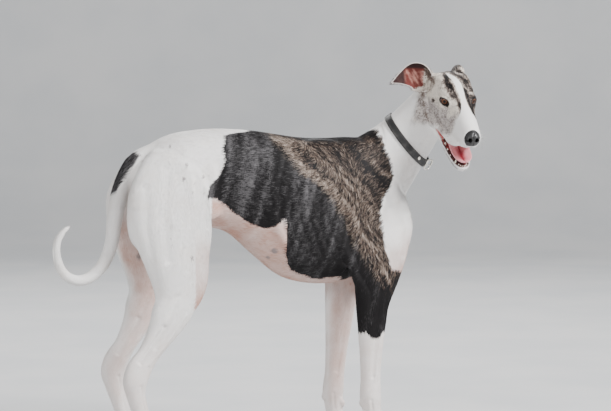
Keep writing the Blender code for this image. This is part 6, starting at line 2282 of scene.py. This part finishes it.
class GreyhoundStage(bpy.types.PropertyGroup):
    """The floor and the lights."""

    floor_colour: FloatVectorProperty(name="Floor", description="Colour of the floor", subtype="COLOR",
                                      default=(0.60, 0.61, 0.62))
    key_power: FloatProperty(name="Key light", description="Power of the key light", default=520.0,
                             unit="POWER")
    fill_power: FloatProperty(name="Fill light", description="Power of the fill and rim lights",
                              default=120.0, unit="POWER")
    room: FloatProperty(name="Room light", description="Strength of the light from all round", default=0.55)


def camera_back():
    return Vector((
        math.sin(VIEW_AZIMUTH) * math.cos(VIEW_ELEVATION),
        -math.cos(VIEW_AZIMUTH) * math.cos(VIEW_ELEVATION),
        math.sin(VIEW_ELEVATION),
    ))


def add_camera():
    width, height = PHOTO_SIZE
    lens = bpy.data.cameras.new("camera")
    lens.sensor_width = SENSOR_WIDTH
    lens.lens = PIXELS_PER_METRE * VIEW_DISTANCE / width * SENSOR_WIDTH
    lens.shift_x = (width / 2 - VIEW_PIXEL[0]) / width
    lens.shift_y = (VIEW_PIXEL[1] - height / 2) / width
    made = new_object("camera", lens)
    made.location = HOME @ (VIEW_TARGET + VIEW_DISTANCE * camera_back())
    made.rotation_euler = (-camera_back()).to_track_quat("-Z", "Y").to_euler()
    bpy.context.scene.camera = made


def add_light(name, place, size, power, aim=Vector((0, 0, 0.4))):
    lamp = bpy.data.lights.new(name, "AREA")
    lamp.shape = "RECTANGLE"
    lamp.size, lamp.size_y = size
    lamp.energy = power
    made = new_object(name, lamp)
    made.location = place
    made.rotation_euler = (aim - Vector(place)).to_track_quat("-Z", "Y").to_euler()


def floor_finish(settings):
    floor = Finish("floor", Roughness=0.7)
    place = floor.object_place()
    speck = floor.noise(place, 3.0, 3.0)
    colour = floor.mix(settings.floor_colour, (0.66, 0.66, 0.66), speck.rise(0.3, 0.7))
    return floor.surface(Base_Color=colour)


def build_stage(settings):
    """A floor that curves up into a pale backdrop, with large soft lights."""
    back, radius = STAGE_BACK, STAGE_CURVE
    profile = [(STAGE_NEAR, 0.0), (back, 0.0)]
    for k in range(1, STAGE_STEPS + 1):
        angle = math.radians(90 * k / STAGE_STEPS)
        profile.append((back + radius * math.sin(angle), radius * (1 - math.cos(angle))))
    profile.append((back + radius, STAGE_TOP))
    away = Vector((-camera_back().x, -camera_back().y, 0)).normalized()
    side = Vector((away.y, -away.x, 0))
    points = []
    for reach, height in profile:
        for across in (-STAGE_HALF, STAGE_HALF):
            points.append(away * reach + side * across + Vector((0, 0, height)))
    faces = [(2 * i, 2 * i + 1, 2 * i + 3, 2 * i + 2) for i in range(len(profile) - 1)]
    mesh = polygon_mesh("floor", points, faces)
    mesh.materials.append(floor_finish(settings))
    mesh.shade_smooth()
    new_object("floor", mesh)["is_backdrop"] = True
    for name, (place, size, power) in LAMPS.items():
        add_light(name, place, size, getattr(settings, power))
    world = bpy.data.worlds.new("room")
    bpy.context.scene.world = world
    world.use_nodes = True
    backdrop = world.node_tree.nodes["Background"]
    backdrop.inputs["Color"].default_value = ROOM_COLOUR
    backdrop.inputs["Strength"].default_value = settings.room
    add_camera()


class GREYHOUND_OT_stage(bpy.types.Operator):
    """Add the floor, the lights and the photograph's camera"""

    bl_idname = "greyhound.stage"
    bl_label = "Stage"

    def execute(self, context):
        build_stage(context.scene.greyhound_stage)
        return {"FINISHED"}


class GREYHOUND_OT_skin(bpy.types.Operator):
    """Fuse the body's forms into one skin with its markings"""

    bl_idname = "greyhound.skin"
    bl_label = "Skin"

    def execute(self, context):
        build_skin(context.scene.greyhound_markings)
        return {"FINISHED"}


class GREYHOUND_OT_coat(bpy.types.Operator):
    """Cover the skin with short tufts of hair, and add the whiskers"""

    bl_idname = "greyhound.coat"
    bl_label = "Coat"

    def execute(self, context):
        build_coat()
        build_whiskers()
        return {"FINISHED"}


class GREYHOUND_OT_eyes(bpy.types.Operator):
    """Set the eyeballs in their sockets, with the lids' wet edges"""

    bl_idname = "greyhound.eyes"
    bl_label = "Eyes"

    def execute(self, context):
        build_eyes(context.scene.greyhound_details)
        return {"FINISHED"}


class GREYHOUND_OT_mouth(bpy.types.Operator):
    """Add the nose pad, the tongue and the teeth"""

    bl_idname = "greyhound.mouth"
    bl_label = "Nose, tongue and teeth"

    def execute(self, context):
        build_mouth(context.scene.greyhound_details)
        return {"FINISHED"}


class GREYHOUND_OT_claws(bpy.types.Operator):
    """Add the claws of the four paws"""

    bl_idname = "greyhound.claws"
    bl_label = "Claws"

    def execute(self, context):
        build_claws()
        return {"FINISHED"}


class GREYHOUND_OT_collar(bpy.types.Operator):
    """Lay the leather collar round the neck"""

    bl_idname = "greyhound.collar"
    bl_label = "Collar"

    def execute(self, context):
        build_collar(context.scene.greyhound_details)
        return {"FINISHED"}


OPERATORS = (GREYHOUND_OT_stage, GREYHOUND_OT_skin, GREYHOUND_OT_eyes, GREYHOUND_OT_mouth, GREYHOUND_OT_claws,
             GREYHOUND_OT_collar, GREYHOUND_OT_coat)
SETTINGS = {"greyhound_markings": GreyhoundMarkings, "greyhound_details": GreyhoundDetails,
            "greyhound_stage": GreyhoundStage}


class GREYHOUND_PT_panel(bpy.types.Panel):
    """The steps of the greyhound, in order"""

    bl_idname = "GREYHOUND_PT_panel"
    bl_label = "Greyhound"
    bl_space_type = "VIEW_3D"
    bl_region_type = "UI"
    bl_category = "Greyhound"

    def draw(self, context):
        for operator in OPERATORS:
            self.layout.operator(operator.bl_idname)


def register():
    for kind in (*SETTINGS.values(), *OPERATORS, GREYHOUND_PT_panel):
        bpy.utils.register_class(kind)
    for name, kind in SETTINGS.items():
        setattr(bpy.types.Scene, name, PointerProperty(type=kind))


def unregister():
    for name in SETTINGS:
        delattr(bpy.types.Scene, name)
    for kind in (GREYHOUND_PT_panel, *reversed(OPERATORS), *reversed(SETTINGS.values())):
        bpy.utils.unregister_class(kind)


def main():
    register()
    bpy.ops.greyhound.stage()
    bpy.ops.greyhound.skin()
    bpy.ops.greyhound.eyes()
    bpy.ops.greyhound.mouth()
    bpy.ops.greyhound.claws()
    bpy.ops.greyhound.collar()
    bpy.ops.greyhound.coat()


if __name__ == "__main__":
    main()
